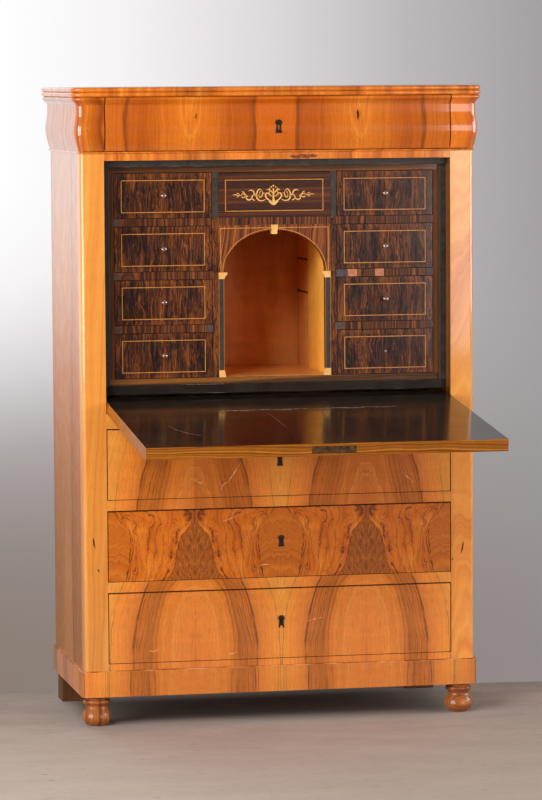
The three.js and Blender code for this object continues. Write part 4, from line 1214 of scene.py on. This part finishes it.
# %% Turned feet
FOOT = [(19.5, 0), (22.5, 2.2), (27, 5.8), (31.5, 10.5), (34.3, 15.5), (35.5, 21.2)]
FOOT += [(35.3, 23.4), (33.8, 30), (30.5, 37), (27.2, 43), (26.1, 47.2), (27, 51), (29.6, 54)]
COLLAR = [(32, 55.2), (32.8, 57), (33, 59.5), (32.4, 62), (30.8, 63.4), (27.2, 64.4), (27, 72.4)]
outline = smooth_line(FOOT, 4) + smooth_line(COLLAR, 3)
for side in SIDES:
    x0, x1, y0, y1 = span(f"foot_front_{side}")[:4]
    shape = turned(outline, lambda x, y, h: at((x0 + x1) / 2 + x, (y0 + y1) / 2 + y, h))
    piece(
        f"turned_foot_{side}", "carcass", shape, [foot_walnut], replaces=[f"foot_front_{side}"],
    )
print("feet of", len(outline), "rings")

# %% [markdown]
# ## Knobs
# The small drawers have little knobs of turned bone, spun from an outline like the feet.
# One has lost its head and keeps only the stub, which shows in how far its CAD node stands
# out. A knob covers a few pixels, so 32 steps round it are plenty.

# %% Knobs
KNOB = [(0.01, 18), (3.4, 17.7), (5.8, 15.7), (6.6, 12.7), (5.2, 9.6), (2.8, 7.4), (2.6, 4.2)]
KNOB += [(4.6, 2), (5.3, 0)]
STUB = [(0.01, 4.5), (2.6, 4.4), (3.6, 3.8), (4, 1.5), (4, 0)]
for place in SMALL:
    x0, x1, y0, y1, z0, z1 = span(f"knob_{place}")
    outline = STUB if y1 - y0 < 10 else smooth_line(KNOB, 4)
    middle = (x0 + x1) / 2, (z0 + z1) / 2
    shape = turned(outline, lambda x, z, h: at(middle[0] + x, y1 - h, middle[1] + z), 32)
    piece(
        f"bone_knob_{place}", f"small_drawer_{place}", shape, [bone],
        replaces=[f"knob_{place}"],
    )
print("knobs 18 mm long")

# %% [markdown]
# ## Keyhole plates
# Each long drawer has a small plate of sheet iron let into the veneer round its keyhole,
# with a rounded head, a waist and a flared foot. The plate is a prism with the keyhole as
# its hole, and a dark patch of painted shade, the dark inside the keyhole, lies behind the
# hole. The plate of the lowest drawer has lost the middle of its foot. The frieze's plate
# leans with the swelling surface.

# %% Keyhole plates


def keyhole_plate(name, body, x, low, high, depth, lean=0.0, broken=False, width=15.5):
    """A plate between two heights, with its hole, and a patch of painted shade behind it."""
    tall = high - low
    half = width / 2
    side = [(half, 0), (0.86 * half, 0.16 * tall), (0.72 * half, 0.4 * tall)]
    side += [(0.76 * half, 0.6 * tall), (0.98 * half, 0.72 * tall), (0.98 * half, 0.84 * tall)]
    side += [(0.72 * half, 0.94 * tall), (0.3 * half, 0.985 * tall), (0, tall)]
    side = smooth_line(side, 3)
    outline = side + [(-a, b) for a, b in reversed(side[:-1])]
    if broken:
        notch = [(-0.46 * half, 0), (-0.4 * half, 0.12 * tall), (0, 0.2 * tall)]
        outline += notch + [(-a, b) for a, b in reversed(notch[:-1])]
    slot_half, hole = 0.16 * half, 0.3 * half
    key = [(slot_half, 0.24 * tall), (slot_half, 0.62 * tall)]
    for step in range(9):
        turn = -0.9 + step / 8 * (math.pi + 1.8)
        key.append((hole * math.cos(turn), 0.7 * tall + hole * math.sin(turn)))
    key += [(-slot_half, 0.62 * tall), (-slot_half, 0.24 * tall)]

    def place(a, b, out):
        return at(x + a, depth + lean * (b - tall / 2) - out, low + b)

    plate = piece(name, body, prism([outline, key], 0.9, -1.0, place), [iron])
    bevel = plate.modifiers.new("arris", "BEVEL")
    bevel.width, bevel.segments = 0.25 * MM, 2
    bevel.limit_method, bevel.angle_limit = "ANGLE", math.radians(40)
    # The patch behind the hole is painted shade, the dark inside the keyhole.
    patch = oblong(-0.34 * half, 0.34 * half, 0.22 * tall, 0.84 * tall)
    piece(name + "_hole", body, prism([patch], 0.12, -0.6, place), [shadow_gap])


keyhole_plate("keyhole_frieze", "frieze_drawer", -1.5, 1431.5, 1464, -11.9, 0.045, width=17)
keyhole_plate("keyhole_a", "drawer_a", -1, 623.8, 655, 0)
keyhole_plate("keyhole_b", "drawer_b", 1, 426.5, 454.7, 0)
keyhole_plate("keyhole_c", "drawer_c", 0, 227.6, 257.9, 0, broken=True)
print("four keyhole plates")

# %% [markdown]
# ## Checks, knots and a stain
# Old wood opens in short checks along the grain, and veneer shows knots. A spill left a dark
# stain on the head rail. A check could be cut into the board, but a crack this thin only
# reads as the dark line of the shade inside it, so each check is a sliver of painted shade.
# Each mark is a sliver cut to its outline and laid a hair proud of the surface, on the body
# that it belongs to.

# %% Checks, knots and a stain
stain = polished("stain", [(0.4, "#4a1906"), (0.55, "#8c3f12"), (0.66, "#c07038")], 4, 0.4, 0.4)


def sliver(line, width):
    """A long thin outline round a crooked line, pointed at both ends."""
    left, right = [line[0]], []
    for (a, b), (c, d), (e, f) in zip(line, line[1:], line[2:]):
        side = Vector((b - f, e - a)).normalized() * width / 2
        left.append((c + side.x, d + side.y))
        right.append((c - side.x, d - side.y))
    return [*left, line[-1], *reversed(right)]


checks = [
    [(-463, 463), (-461, 455), (-460, 444), (-457, 433)],
    [(-452, 386), (-450, 382), (-447, 376)],
    [(458, 428), (457, 418), (455, 405), (452, 394)],
    [(432, 386), (431, 382), (431, 378)],
]
# Each check's dark sliver is painted shade inside the crack.
cuts = [prism([sliver(line, 3.4)], -0.12, 0.3, front(0)) for line in checks]
piece("stile_checks", "carcass", gathered(cuts), [shadow_gap])
knots = [sliver([(195, 1490), (194, 1480), (195, 1471), (194, 1462)], 4.0)]
knots.append(sliver([(-205, 1482), (-203, 1478), (-205, 1471), (-206, 1467)], 1.4))
cuts = [prism([knot], 0.0, 1.0, front(-11.9)) for knot in knots]
piece("frieze_knots", "frieze_drawer", gathered(cuts), [shadow_gap])
blot = [(26, 1374), (34, 1379), (47, 1377), (58, 1381), (72, 1378), (88, 1381), (97, 1376)]
blot += [(90, 1371), (80, 1373), (70, 1369), (58, 1372), (46, 1369), (36, 1371)]
piece("rail_stain", "carcass", prism([blot], -0.1, 0.2, front(0)), [stain])
print(len(checks), "checks,", len(knots), "knots, one stain")

# %% [markdown]
# ## Scratches in the black polish
# A long jagged crack and two scratches cross the writing surface. It slopes, so a helper
# finds its far and near edge in the CAD mesh and lays the slivers along it.

# %% Scratches in the black polish
scratch_grey = polished("scratch_grey", [(0.46, "#2a2522"), (0.56, "#b5aaa2")], 9, 0.4, 0.2)
board_mesh = nodes["flap_board"].data
black_side = [
    board_mesh.vertices[i].co for f in board_mesh.polygons if f.normal.z > 0.7 for i in f.vertices
]
FAR = max(black_side, key=lambda p: p.y)
NEAR = min(black_side, key=lambda p: p.y)
slope = Vector((0, NEAR.y - FAR.y, NEAR.z - FAR.z))


def on_flap(x, out, deeper):
    """A place on the open drop front's black side, `out` millimetres from its hinge end."""
    normal = slope.cross(Vector((1, 0, 0))).normalized()
    normal = normal if normal.z > 0 else -normal
    return Vector((x * MM, FAR.y, FAR.z)) + slope.normalized() * out * MM - normal * deeper * MM


crack = [(-196, 198), (-150, 190), (-120, 194), (-70, 187), (-30, 194), (20, 186)]
crack += [(64, 193), (110, 184), (150, 192), (190, 181), (225, 190), (262, 182)]
long_scratch = [(-70, 210), (-62, 300), (-58, 410)]
short_scratch = [(-330, 350), (-322, 400), (-300, 450), (-272, 480)]
cuts = []
for line, width in ((crack, 5.5), (long_scratch, 1.0), (short_scratch, 1.2)):
    cuts.append(prism([sliver(line, width)], -0.08, 0.2, on_flap))
piece("black_scratches", "fall_front", gathered(cuts), [scratch_grey])
print(len(cuts), "scratches")

# %% [markdown]
# ## Scratches of the long drawers
# Keys and rings have rubbed short pale lines into the veneer round the keyholes. Each takes
# the same sliver, with a colour that fades in and out so that it looks broken.

# %% Scratches of the long drawers
rubbed = polished("rubbed_veneer", [(0.42, "#b06a30"), (0.58, "#f2cda0")], 9, 0.4, 0.2)
SCRATCHES = {
    "a": [
        [(-149, 577), (-128, 590), (-110, 616), (-98, 635)],
        [(-140, 585), (-146, 573), (-149, 566)],
        [(305, 600), (318, 588), (338, 569)],
        [(-215, 596), (-200, 588), (-190, 586)],
    ],
    "b": [
        [(-153, 490), (-130, 496), (-106, 505)],
        [(345, 470), (352, 472), (360, 470)],
        [(-60, 380), (-40, 384), (-22, 383)],
    ],
    "c": [
        [(-136, 166), (-120, 168), (-106, 172)],
        [(60, 240), (84, 246), (110, 250)],
        [(-330, 182), (-318, 180), (-300, 183)],
    ],
}
for drawer, lines in SCRATCHES.items():
    cuts = [prism([sliver(line, 1.3)], -0.08, 0.2, front(0)) for line in lines]
    piece(f"scratches_{drawer}", f"drawer_{drawer}", gathered(cuts), [rubbed])
print(sum(len(lines) for lines in SCRATCHES.values()), "scratches")

# %% [markdown]
# ## Arched screen
# The niche stands behind a fretted screen. Black pilasters on maple bases carry maple
# imposts, and a rosewood arch with a maple keystone springs between them. Each is a
# separate prism of the screen's full thickness, so the light wood shows in the opening's
# reveal too.

# %% Arched screen
x0, OUTER, y0, y1, BOTTOM, TOP = span("arch_panel")
INNER = 126.0
SPRING, IMPOST, CROWN = 1093.6, 1078.0, 1195.6
CYMA = [(0, 0), (1.0, 0), (2.2, 3), (3.8, 6.2), (6.6, 9.4), (8.5, 12.2), (8.5, 15.6)]


def arch_line(wider):
    """Points on the arch, or on a line some way outside it."""
    turns = [math.pi * step / 48 for step in range(49)]
    tall = CROWN - SPRING + wider
    return [((INNER + wider) * math.cos(t), SPRING + tall * math.sin(t)) for t in turns]


parts = [
    [(OUTER, SPRING), (OUTER, TOP), (-OUTER, TOP), (-OUTER, SPRING), *reversed(arch_line(0))]
]
for sign in (-1, 1):
    post = [(INNER, BOTTOM + 17), (OUTER, BOTTOM + 17), (OUTER, IMPOST), (INNER, IMPOST)]
    parts.append([(sign * x, z) for x, z in post])
for sign in (-1, 1):
    cap = [(INNER - a, IMPOST + b) for a, b in smooth_line(CYMA, 3)]
    cap += [(OUTER, SPRING), (OUTER, IMPOST)]
    parts.append([(sign * x, z) for x, z in cap])
    foot = [(INNER - 4, BOTTOM), (OUTER, BOTTOM), (OUTER, BOTTOM + 17), (INNER, BOTTOM + 17)]
    parts.append([(sign * x, z) for x, z in foot])
parts.append([(-6.5, 1185.6), (6.5, 1185.6), (9, TOP), (-9, TOP)])
solids = []
for number, loop in enumerate(parts):
    solids.append(prism([loop], -0.3 if number > 2 else 0.0, y1 - y0, front(y0)))
points, faces, picks = gathered(solids)
kinds = [0, 1, 1, 2, 2, 2, 2, 2]
piece(
    "arched_screen", "carcass", (points, faces), [arch_rosewood, dull_black, maple],
    [kinds[p] for p in picks], replaces=["arch_panel"],
)
print("arched screen of", len(parts), "parts")

# %% [markdown]
# ## Stringing
# Inlaid lines of maple, a little under two millimetres wide, frame every small drawer and
# follow the arch. On the real thing they are let in flush. Here each is a strip 0.1 mm
# proud, which no eye can see but which keeps its edge crisp.

# %% Stringing


def ribbon(line, width, closed=False):
    """The two edges of an even strip along a line of points."""
    left, right = [], []
    count = len(line)
    for i, (a, b) in enumerate(line):
        before = line[i - 1] if closed or i else (2 * a - line[1][0], 2 * b - line[1][1])
        mirrored = (2 * a - before[0], 2 * b - before[1])
        after = line[(i + 1) % count] if closed or i < count - 1 else mirrored
        first = Vector((a - before[0], b - before[1])).normalized()
        last = Vector((after[0] - a, after[1] - b)).normalized()
        mean = (first + last).normalized()
        reach = width / 2 / max(mean.dot(first), 0.3)
        left.append((a - mean.y * reach, b + mean.x * reach))
        right.append((a + mean.y * reach, b - mean.x * reach))
    return left, right


def strip(line, width, where, closed=False):
    """A thin strip laid along a line on a surface."""
    left, right = ribbon(line, width, closed)
    rings = []
    for a, b in zip(left, right):
        rings.append([where(*a, -0.1), where(*b, -0.1), where(*b, 0.3), where(*a, 0.3)])
    return loft([*rings, rings[0]], capped=False) if closed else loft(rings)


LINE = 1.8
for place in SMALL:
    x0, x1, y0, y1, z0, z1 = span(f"inner_drawer_{place}")
    border = oblong(x0 + 19, x1 - 19, z0 + 14.8, z1 - 18.3)
    shape = strip(border, LINE, front(y0), closed=True)
    piece(f"stringing_{place}", f"small_drawer_{place}", shape, [line_maple])
x0, x1, y0, y1, z0, z1 = span("inner_drawer_centre")
shape = strip(oblong(x0 + 18, x1 - 18, z0 + 15.3, z1 - 19.5), LINE, front(y0), closed=True)
piece("stringing_centre", "centre_drawer", shape, [line_maple])

screen = span("arch_panel")[2]
lines = [strip(arch_line(3), 1.6, front(screen))]
corner = [(-133.5, SPRING), (-133.5, TOP - 7.4), (133.5, TOP - 7.4), (133.5, SPRING)]
lines.append(strip(corner, LINE, front(screen)))
for x in (-OUTER + 0.5, -INNER - 0.5, INNER + 0.5, OUTER - 0.5):
    lines.append(strip([(x, BOTTOM + 17), (x, IMPOST)], 0.8, front(screen)))
piece("stringing_screen", "carcass", gathered(lines), [line_maple])
print("lines", LINE, "mm wide")

# %% [markdown]
# ## Dark gaps
# The gap round each drawer lies in shade and shows as a thin dark line. The CAD has the
# gap, but it is finer than a pixel here and would fade, so a strip of painted shade lies
# along each drawer's edge. At the frieze it follows the swelling profile.

# %% Dark gaps
edged = [(f"drawer_{letter}_front", f"drawer_{letter}", "walnut") for letter in "abc"]
for place in SMALL:
    edged.append((f"inner_drawer_{place}", f"small_drawer_{place}", "rosewood"))
# Each strip is painted shade in the gap round a drawer.
for node, body, slot in edged:
    x0, x1, y0, y1, z0, z1 = span(node)
    border = oblong(x0 + 0.6, x1 - 0.6, z0 + 0.6, z1 - 0.6)
    piece(
        f"painted_gap_shade_{body}", body, strip(border, 1.1, front(y0), closed=True), [shadow_gap],
    )
ends = []
for x0 in (span("frieze_drawer_front")[0] + 0.1, span("frieze_drawer_front")[1] - 1.7):
    rings = []
    for z, proud in frieze_profile()[1:-1]:
        corners = ((x0, -0.1), (x0 + 1.6, -0.1), (x0 + 1.6, 0.3), (x0, 0.3))
        rings.append([at(a, b - proud, z) for a, b in corners])
    ends.append(loft(rings))
piece("painted_gap_shade_frieze", "frieze_drawer", gathered(ends), [shadow_gap])
# Painted shade in the gap above the astragal.
x0, x1, y0, y1, z0, z1 = span("astragal_board")
shape = strip([(x0 + 12, z1 - 0.7), (x1 - 12, z1 - 0.7)], 1.3, front(y0))
piece("painted_gap_shade_astragal", "carcass", shape, [shadow_gap])
print("dark gaps round", len(edged) + 1, "drawers")

# %% [markdown]
# ## Lippings and patches
# The edges of the walls and shelves between the small drawers are faced with thin cross-cut
# lippings. The two beside the top middle drawer are black. Where old ones came off they
# were patched with grey and salmon bits. The CAD has each side's walls as one body, so a
# thin sheet in its own wood is laid over each of these edges.

# %% Lippings and patches
EDGE = span("nest_right")[2]
LOW, HIGH = span("nest_right")[4:]
RAIL = 18.3
POST, WALL, CASE = 154.2, 396.3, 409
NICHE = 139.5


def facing(name, box, material, proud=0.15):
    """A thin strip on the front edges of the drawers' case."""
    piece(
        name, "carcass", prism([oblong(*box)], -proud, 0.2, front(EDGE)), [material],
    )


for side, sign in SIDES.items():
    for row in (1, 2, 3):
        top = LOW + row * ROW
        x = sorted((sign * POST, sign * WALL))
        facing(f"lipping_rail_{side}_{row}", (*x, top - RAIL, top), rosewood_cross)
    x = sorted((sign * WALL, sign * CASE))
    # The wall's facing is painted dark, as painted shade.
    facing(f"lipping_wall_{side}", (*x, LOW, HIGH), wall_walnut_painted_shade)
    x = sorted((sign * NICHE, sign * POST))
    facing(f"lipping_post_{side}", (*x, LOW, LOW + 3 * ROW), rosewood)
    facing(f"lipping_black_{side}", (*x, LOW + 3 * ROW, HIGH), dull_black)
facing("lipping_shelf", (-NICHE, NICHE, LOW + 3 * ROW - RAIL, LOW + 3 * ROW), rosewood_cross)

rail_1, rail_2, rail_3 = (LOW + n * ROW - RAIL for n in (3, 2, 1))
PATCHES = [
    (153.6, 182, rail_2, 18, patch_grey),
    (182.4, 205.6, rail_2, 18, patch_salmon),
    (250.4, 273, rail_2, 18, patch_salmon),
    (381.5, 394, rail_2, 17, patch_grey),
    (153.6, 172, rail_3, 17, patch_grey),
    (-395.5, -384, rail_1, 17, patch_grey),
    (-395.5, -384, rail_2, 17, patch_grey),
    (-395.5, -385, rail_3, 17, patch_grey),
    (-169, -154.5, rail_3, 17, patch_grey),
]
for number, (x0, x1, low, tall, material) in enumerate(PATCHES):
    facing(f"patch_{number + 1}", (x0, x1, low + 0.3, low + tall), material, 0.22)
print(len(PATCHES), "patches")

# %% [markdown]
# ## Inside the niche
# The niche has a reddish softwood back and floor. The front part of each side wall is
# lined with pale birch up to the place where the shelves' grooves begin, and is paler still
# there as painted light, which ends where the shade behind begins. Both woods are made paler
# than their own colour, as painted light. Thin sheets over the CAD's walls show both woods,
# and the gaps left between them are the grooves.

# %% Niche linings
NICHE_TOP = span("centre_shelf")[4]
SCREEN_BACK, LINED = 71.2, 316
GROOVES = [LOW + share * (NICHE_TOP - LOW) - 2.75 for share in (0.507, 0.73)]
BACK = span("back_panel")[2]
shape = prism([oblong(-NICHE, NICHE, LOW, NICHE_TOP)], -0.8, 0.0, front(BACK))
piece("niche_back", "carcass", shape, [niche_pine_painted_light])
shape = upright(oblong(-NICHE, NICHE, SCREEN_BACK, BACK - 0.8), (LOW - 0.2, LOW + 0.4))
piece("niche_floor", "carcass", shape, [niche_pine_painted_light])
for side, sign in SIDES.items():
    x0, x1 = sorted((sign * NICHE, sign * (NICHE - 0.8)))
    shape = upright(oblong(x0, x1, SCREEN_BACK, LINED), (LOW + 0.4, NICHE_TOP))
    piece(f"niche_lining_{side}", "carcass", shape, [niche_birch_painted_light])
    parts = []
    tiers = (LOW + 0.4, *[z for low in GROOVES for z in (low, low + 5.5)], NICHE_TOP)
    for low, high in zip(tiers[::2], tiers[1::2]):
        parts.append(upright(oblong(x0, x1, LINED, BACK - 0.8), (low, high)))
    piece(f"niche_wall_{side}", "carcass", gathered(parts), [niche_pine_painted_light])
print("niche", round(NICHE_TOP - LOW), "mm tall")

# %% [markdown]
# ## Marquetry
# The middle drawer carries a spray of scrolls and leaves on both sides of a small vase.
# It is a common ornament of its time, drawn here afresh. A tapering stroke along a curve
# makes each scroll and leaf, a disc each berry, all cut from maple 0.1 mm proud. Bevelled
# curves would be round like wire, but flat strips have the fretsaw's sharp points.

# %% Marquetry
x0, x1, y0, y1, z0, z1 = span("inner_drawer_centre")
MX, MZ = (x0 + x1) / 2 - 2, (z0 + z1) / 2 - 1


def stroke(line, widest, start=0.3, end=0.1):
    """A leaf or scroll: a strip that swells to its widest and tapers to both ends."""
    line = smooth_line(line, 6)
    left, right = ribbon(line, 1.0)
    rings = []
    for i, ((a, b), p, q) in enumerate(zip(line, left, right)):
        t = i / (len(line) - 1)
        swell = max(math.sin(math.pi * t), 0) ** 0.8
        width = widest * (start * (1 - t) + end * t + swell * (1 - (start + end) / 2))
        p = (a + (p[0] - a) * width, b + (p[1] - b) * width)
        q = (a + (q[0] - a) * width, b + (q[1] - b) * width)
        rings.append([(*p, -0.1), (*q, -0.1), (*q, 0.2), (*p, 0.2)])
    return rings


def disc(x, z, radius):
    """A berry's outline."""
    turns = [2 * math.pi * step / 14 for step in range(14)]
    return [(x + radius * math.cos(t), z + radius * math.sin(t)) for t in turns]


HALF_SPRAY = [
    ([(2, -16), (9, -14), (16, -9), (20, -2), (17, 4), (12, 3), (12, -1)], 3.4),
    ([(3, -4), (8, -1), (11, 5), (9, 10)], 2.6),
    ([(2, 4), (6, 9), (12, 13), (17, 12)], 3.2),
    ([(20, -11), (27, -14), (36, -13), (41, -7), (42, 2), (39, 10), (34, 14), (29, 11)], 3.4),
    ([(29, 11), (27, 4), (29, -3), (33, -6), (36, -2), (34, 3)], 2.4),
    ([(32, 10), (34, 6), (35, 0)], 1.8),
    ([(41, -4), (47, 2), (50, 9), (57, 12), (62, 9)], 3.0),
    ([(47, 2), (52, -2), (54, -8), (60, -12), (66, -10), (67, -5), (63, -4)], 3.2),
    ([(54, -7), (50, -12), (45, -13)], 2.4),
    ([(63, -4), (69, 0), (76, 3), (80, 1)], 2.6),
    ([(66, -1), (71, -5), (77, -6), (79, -3)], 2.4),
    ([(70, 2), (74, 7), (79, 8)], 2.0),
    ([(78, 0), (86, -1), (94, 1), (102, 0)], 2.0),
    ([(83, -1), (87, 4), (92, 5)], 1.8),
    ([(84, -1), (88, -4), (92, -4)], 1.6),
]
cut = []
for sign in (-1, 1):
    for line, widest in HALF_SPRAY:
        rings = stroke([(sign * a, b) for a, b in line], widest)
        cut.append(loft([[at(MX + a, y0 + deep, MZ + b) for a, b, deep in r] for r in rings]))
    for a, b, radius in ((5.5, 19, 1.7), (9.5, 15.5, 1.5), (24, 4, 1.4), (45, -2, 1.2)):
        cut.append(prism([disc(MX + sign * a, MZ + b, radius)], -0.1, 0.2, front(y0)))
vase = [(-3, -25), (3, -25), (7, -22), (12, -16.5), (11, -15), (4, -15.5), (2.4, -10)]
vase += [(1.8, 2), (1.5, 16), (-1.5, 16), (-1.8, 2), (-2.4, -10), (-4, -15.5), (-11, -15)]
vase += [(-12, -16.5), (-7, -22)]
cut.append(prism([[(MX + a, MZ + b) for a, b in vase]], -0.1, 0.2, front(y0)))
cut.append(prism([disc(MX, MZ + 22, 2.1)], -0.1, 0.2, front(y0)))
piece("marquetry", "centre_drawer", gathered(cut), [maple])
print("marquetry of", len(cut), "bits")

# %% [markdown]
# ## Floor and backdrop
# The cabinet stands on a pale canvas, which ends two metres in front on a dark floor; that
# dark is what the polish of the fronts mirrors, and why their colours are so deep. The
# canvas is painted paler towards the camera as painted light, has faint smudges and dashes,
# and carries a painted shadow under the cabinet. The floor is an ordinary surface, because
# it must take the shadow.

# %% Floor


def stage_sheet(name, points, faces, material):
    """A surface of the studio, which isn't part of the cabinet."""
    mesh = bpy.data.meshes.new(name)
    mesh.from_pydata([tuple(p) for p in points], [], faces)
    mesh.materials.append(material)
    mesh.shade_smooth()
    thing = bpy.data.objects.new(name, mesh)
    scene.collection.objects.link(thing)


floor_canvas, put, shader = blank("floor_canvas")
point = millimetres(put)
x, y, z = put("SeparateXYZ", point, out=None)
# Painted light: the canvas is paler towards the camera.
near = put("MapRange", y, 500.0, -1300.0)
base = put("Mix", near, "#9c8e84", "#b6a59a")
# Stretch, size, detail, roughness, the noise where a mark starts and is full, strength.
SCUFFS = 0.4, 120, 6.0, 0.6, 0.35, 0.65, 0.25, "#c9b8ab"
STREAKS = 0.18, 6, 2.0, 0.5, 0.63, 0.72, 0.45, "#6c5f57"
SMUDGES = 0.5, 26, 4.0, 0.7, 0.56, 0.74, 0.35, "#7d7068"
DASHES = 0.4, 20, 0.0, 0.5, 0.83, 0.88, 0.6, "#4a4039"
for squeeze, size, detail, rough, start, full, most, colour in (SCUFFS, STREAKS, SMUDGES, DASHES):
    noise = mottle(put, point, (squeeze, 1.0, 1.0), size, detail, rough)
    base = put("Mix", put("MapRange", noise, start, full, 0.0, most), base, colour)
CANVAS_END = -1500.0, -2600.0
base = put("Mix", put("MapRange", y, *CANVAS_END), base, "#241f1c")
# A painted shadow under the cabinet, darker than the lamps make it.
under = put("MapRange", put("ABSOLUTE", x), 500.0, 380.0)
under = put("MULTIPLY", under, put("MapRange", away(put, y, 250.0), 280.0, 150.0))
base = put("Mix", put("MULTIPLY", under, 0.65), base, "#4a3f39")
fill(shader, {"Base Color": base, "Roughness": 0.7})
corners = [(-9000, -9000), (9000, -9000), (9000, 9000), (-9000, 9000)]
stage_sheet("floor", [at(a, b, 0) for a, b in corners], [(0, 1, 2, 3)], floor_canvas)
print("floor 18 m wide")

# %% [markdown]
# A sheet hangs close behind, white at the upper left and grey elsewhere, which is painted
# light on it. It only has to be seen, so it glows with its own colour for camera, glossy and
# transmission rays, and lets every other ray and every look from behind pass.

# %% Backdrop
backdrop_sheet, put, shader = blank("backdrop_sheet")
x, y, z = put("SeparateXYZ", millimetres(put), out=None)
leftness = put("MapRange.LINEAR", x, 806.0, -585.0)
glow = put("MULTIPLY", leftness, put("MapRange", z, 250.0, 1350.0))
shades = [(0.0, "#a5a1a2"), (0.25, "#bcb7b9"), (0.5, "#ddd8da"), (0.78, "#f6f3f4")]
shades += [(1.0, "#ffffff")]
lowness = put("MapRange", z, 0.0, 1000.0, 0.95, 0.0)
low_shade = put("Mix", leftness, "#918987", "#8a7c72")
base = put("Mix", lowness, coloured(put("ValToRGB", glow), shades), low_shade)
rays = [put("LightPath", out=f"Is {ray} Ray") for ray in ("Camera", "Glossy", "Transmission")]
seen = put("MAXIMUM", put("MAXIMUM", rays[0], rays[1]), rays[2])
facing_it = put("SUBTRACT", 1.0, put("NewGeometry", out="Backfacing"))
seen = put("MULTIPLY", seen, facing_it)
shine = put("Emission", base, 1.0)
output = backdrop_sheet.node_tree.nodes["Material Output"]
fill(output, {"Surface": put("MixShader", seen, put("BsdfTransparent"), shine)})
profile = [(-60, 0.5), (-25, 4), (0, 20), (15, 60), (22, 160), (25, 600), (25, 3600)]
points, faces = [], []
for x in (-5000, 3000):
    points += [at(x, 566 - 0.096 * x + a, b) for a, b in profile]
for i in range(len(profile) - 1):
    faces.append((i, i + len(profile), i + len(profile) + 1, i + 1))
stage_sheet("backdrop", points, faces, backdrop_sheet)
print("backdrop of", len(faces), "strips")

# %% [markdown]
# ## Light
# The polish tells where the studio's soft boxes stood. A wide one at the far left draws the
# white line down the left stile's rounded corner, another at the far right draws the one
# down the right stile, and a third, well forward on the right, lays a pale haze on that
# stile. A lamp above the camera fills the front; it isn't mirrored, because the photograph
# shows no trace of it. A weak one behind lights the back when the camera goes round, and
# the world adds a little even light. Together they render a colour about as written.

# %% Light


def soft_box(name, place, aim, width, height, power, mirrored=True):
    """A rectangular lamp aimed at a point, in metres and watts."""
    light = bpy.data.lights.new(name, "AREA")
    light.shape = "RECTANGLE"
    light.size, light.size_y, light.energy = width, height, power
    thing = bpy.data.objects.new(name, light)
    scene.collection.objects.link(thing)
    thing.location = place
    thing.rotation_euler = (Vector(aim) - Vector(place)).to_track_quat("-Z", "Y").to_euler()
    thing.visible_glossy = mirrored


soft_box("left", (-4.1, -2.3, 1.45), (0, 0, 1.0), 3.2, 1.9, 215)
soft_box("right", (4.04, -1.0, 1.5), (0.4, 0.0, 1.0), 3.2, 1.5, 130)
soft_box("far_right", (2.8, -5.0, 1.3), (0.45, 0, 1.1), 2.2, 1.6, 56)
soft_box("front", (-2.6, -3.8, 3.2), (0, 0, 0.9), 1.4, 1.2, 118, mirrored=False)
soft_box("rear", (-1.5, 4.5, 3.2), (0, 0.4, 0.8), 2.0, 2.0, 60)
world = bpy.data.worlds.new("studio")
scene.world = world
world.use_nodes = True
background = world.node_tree.nodes["Background"]
fill(background, {"Color": "#d9d3d2", "Strength": 0.11})
scene.view_settings.view_transform = "Standard"
print("five soft boxes")
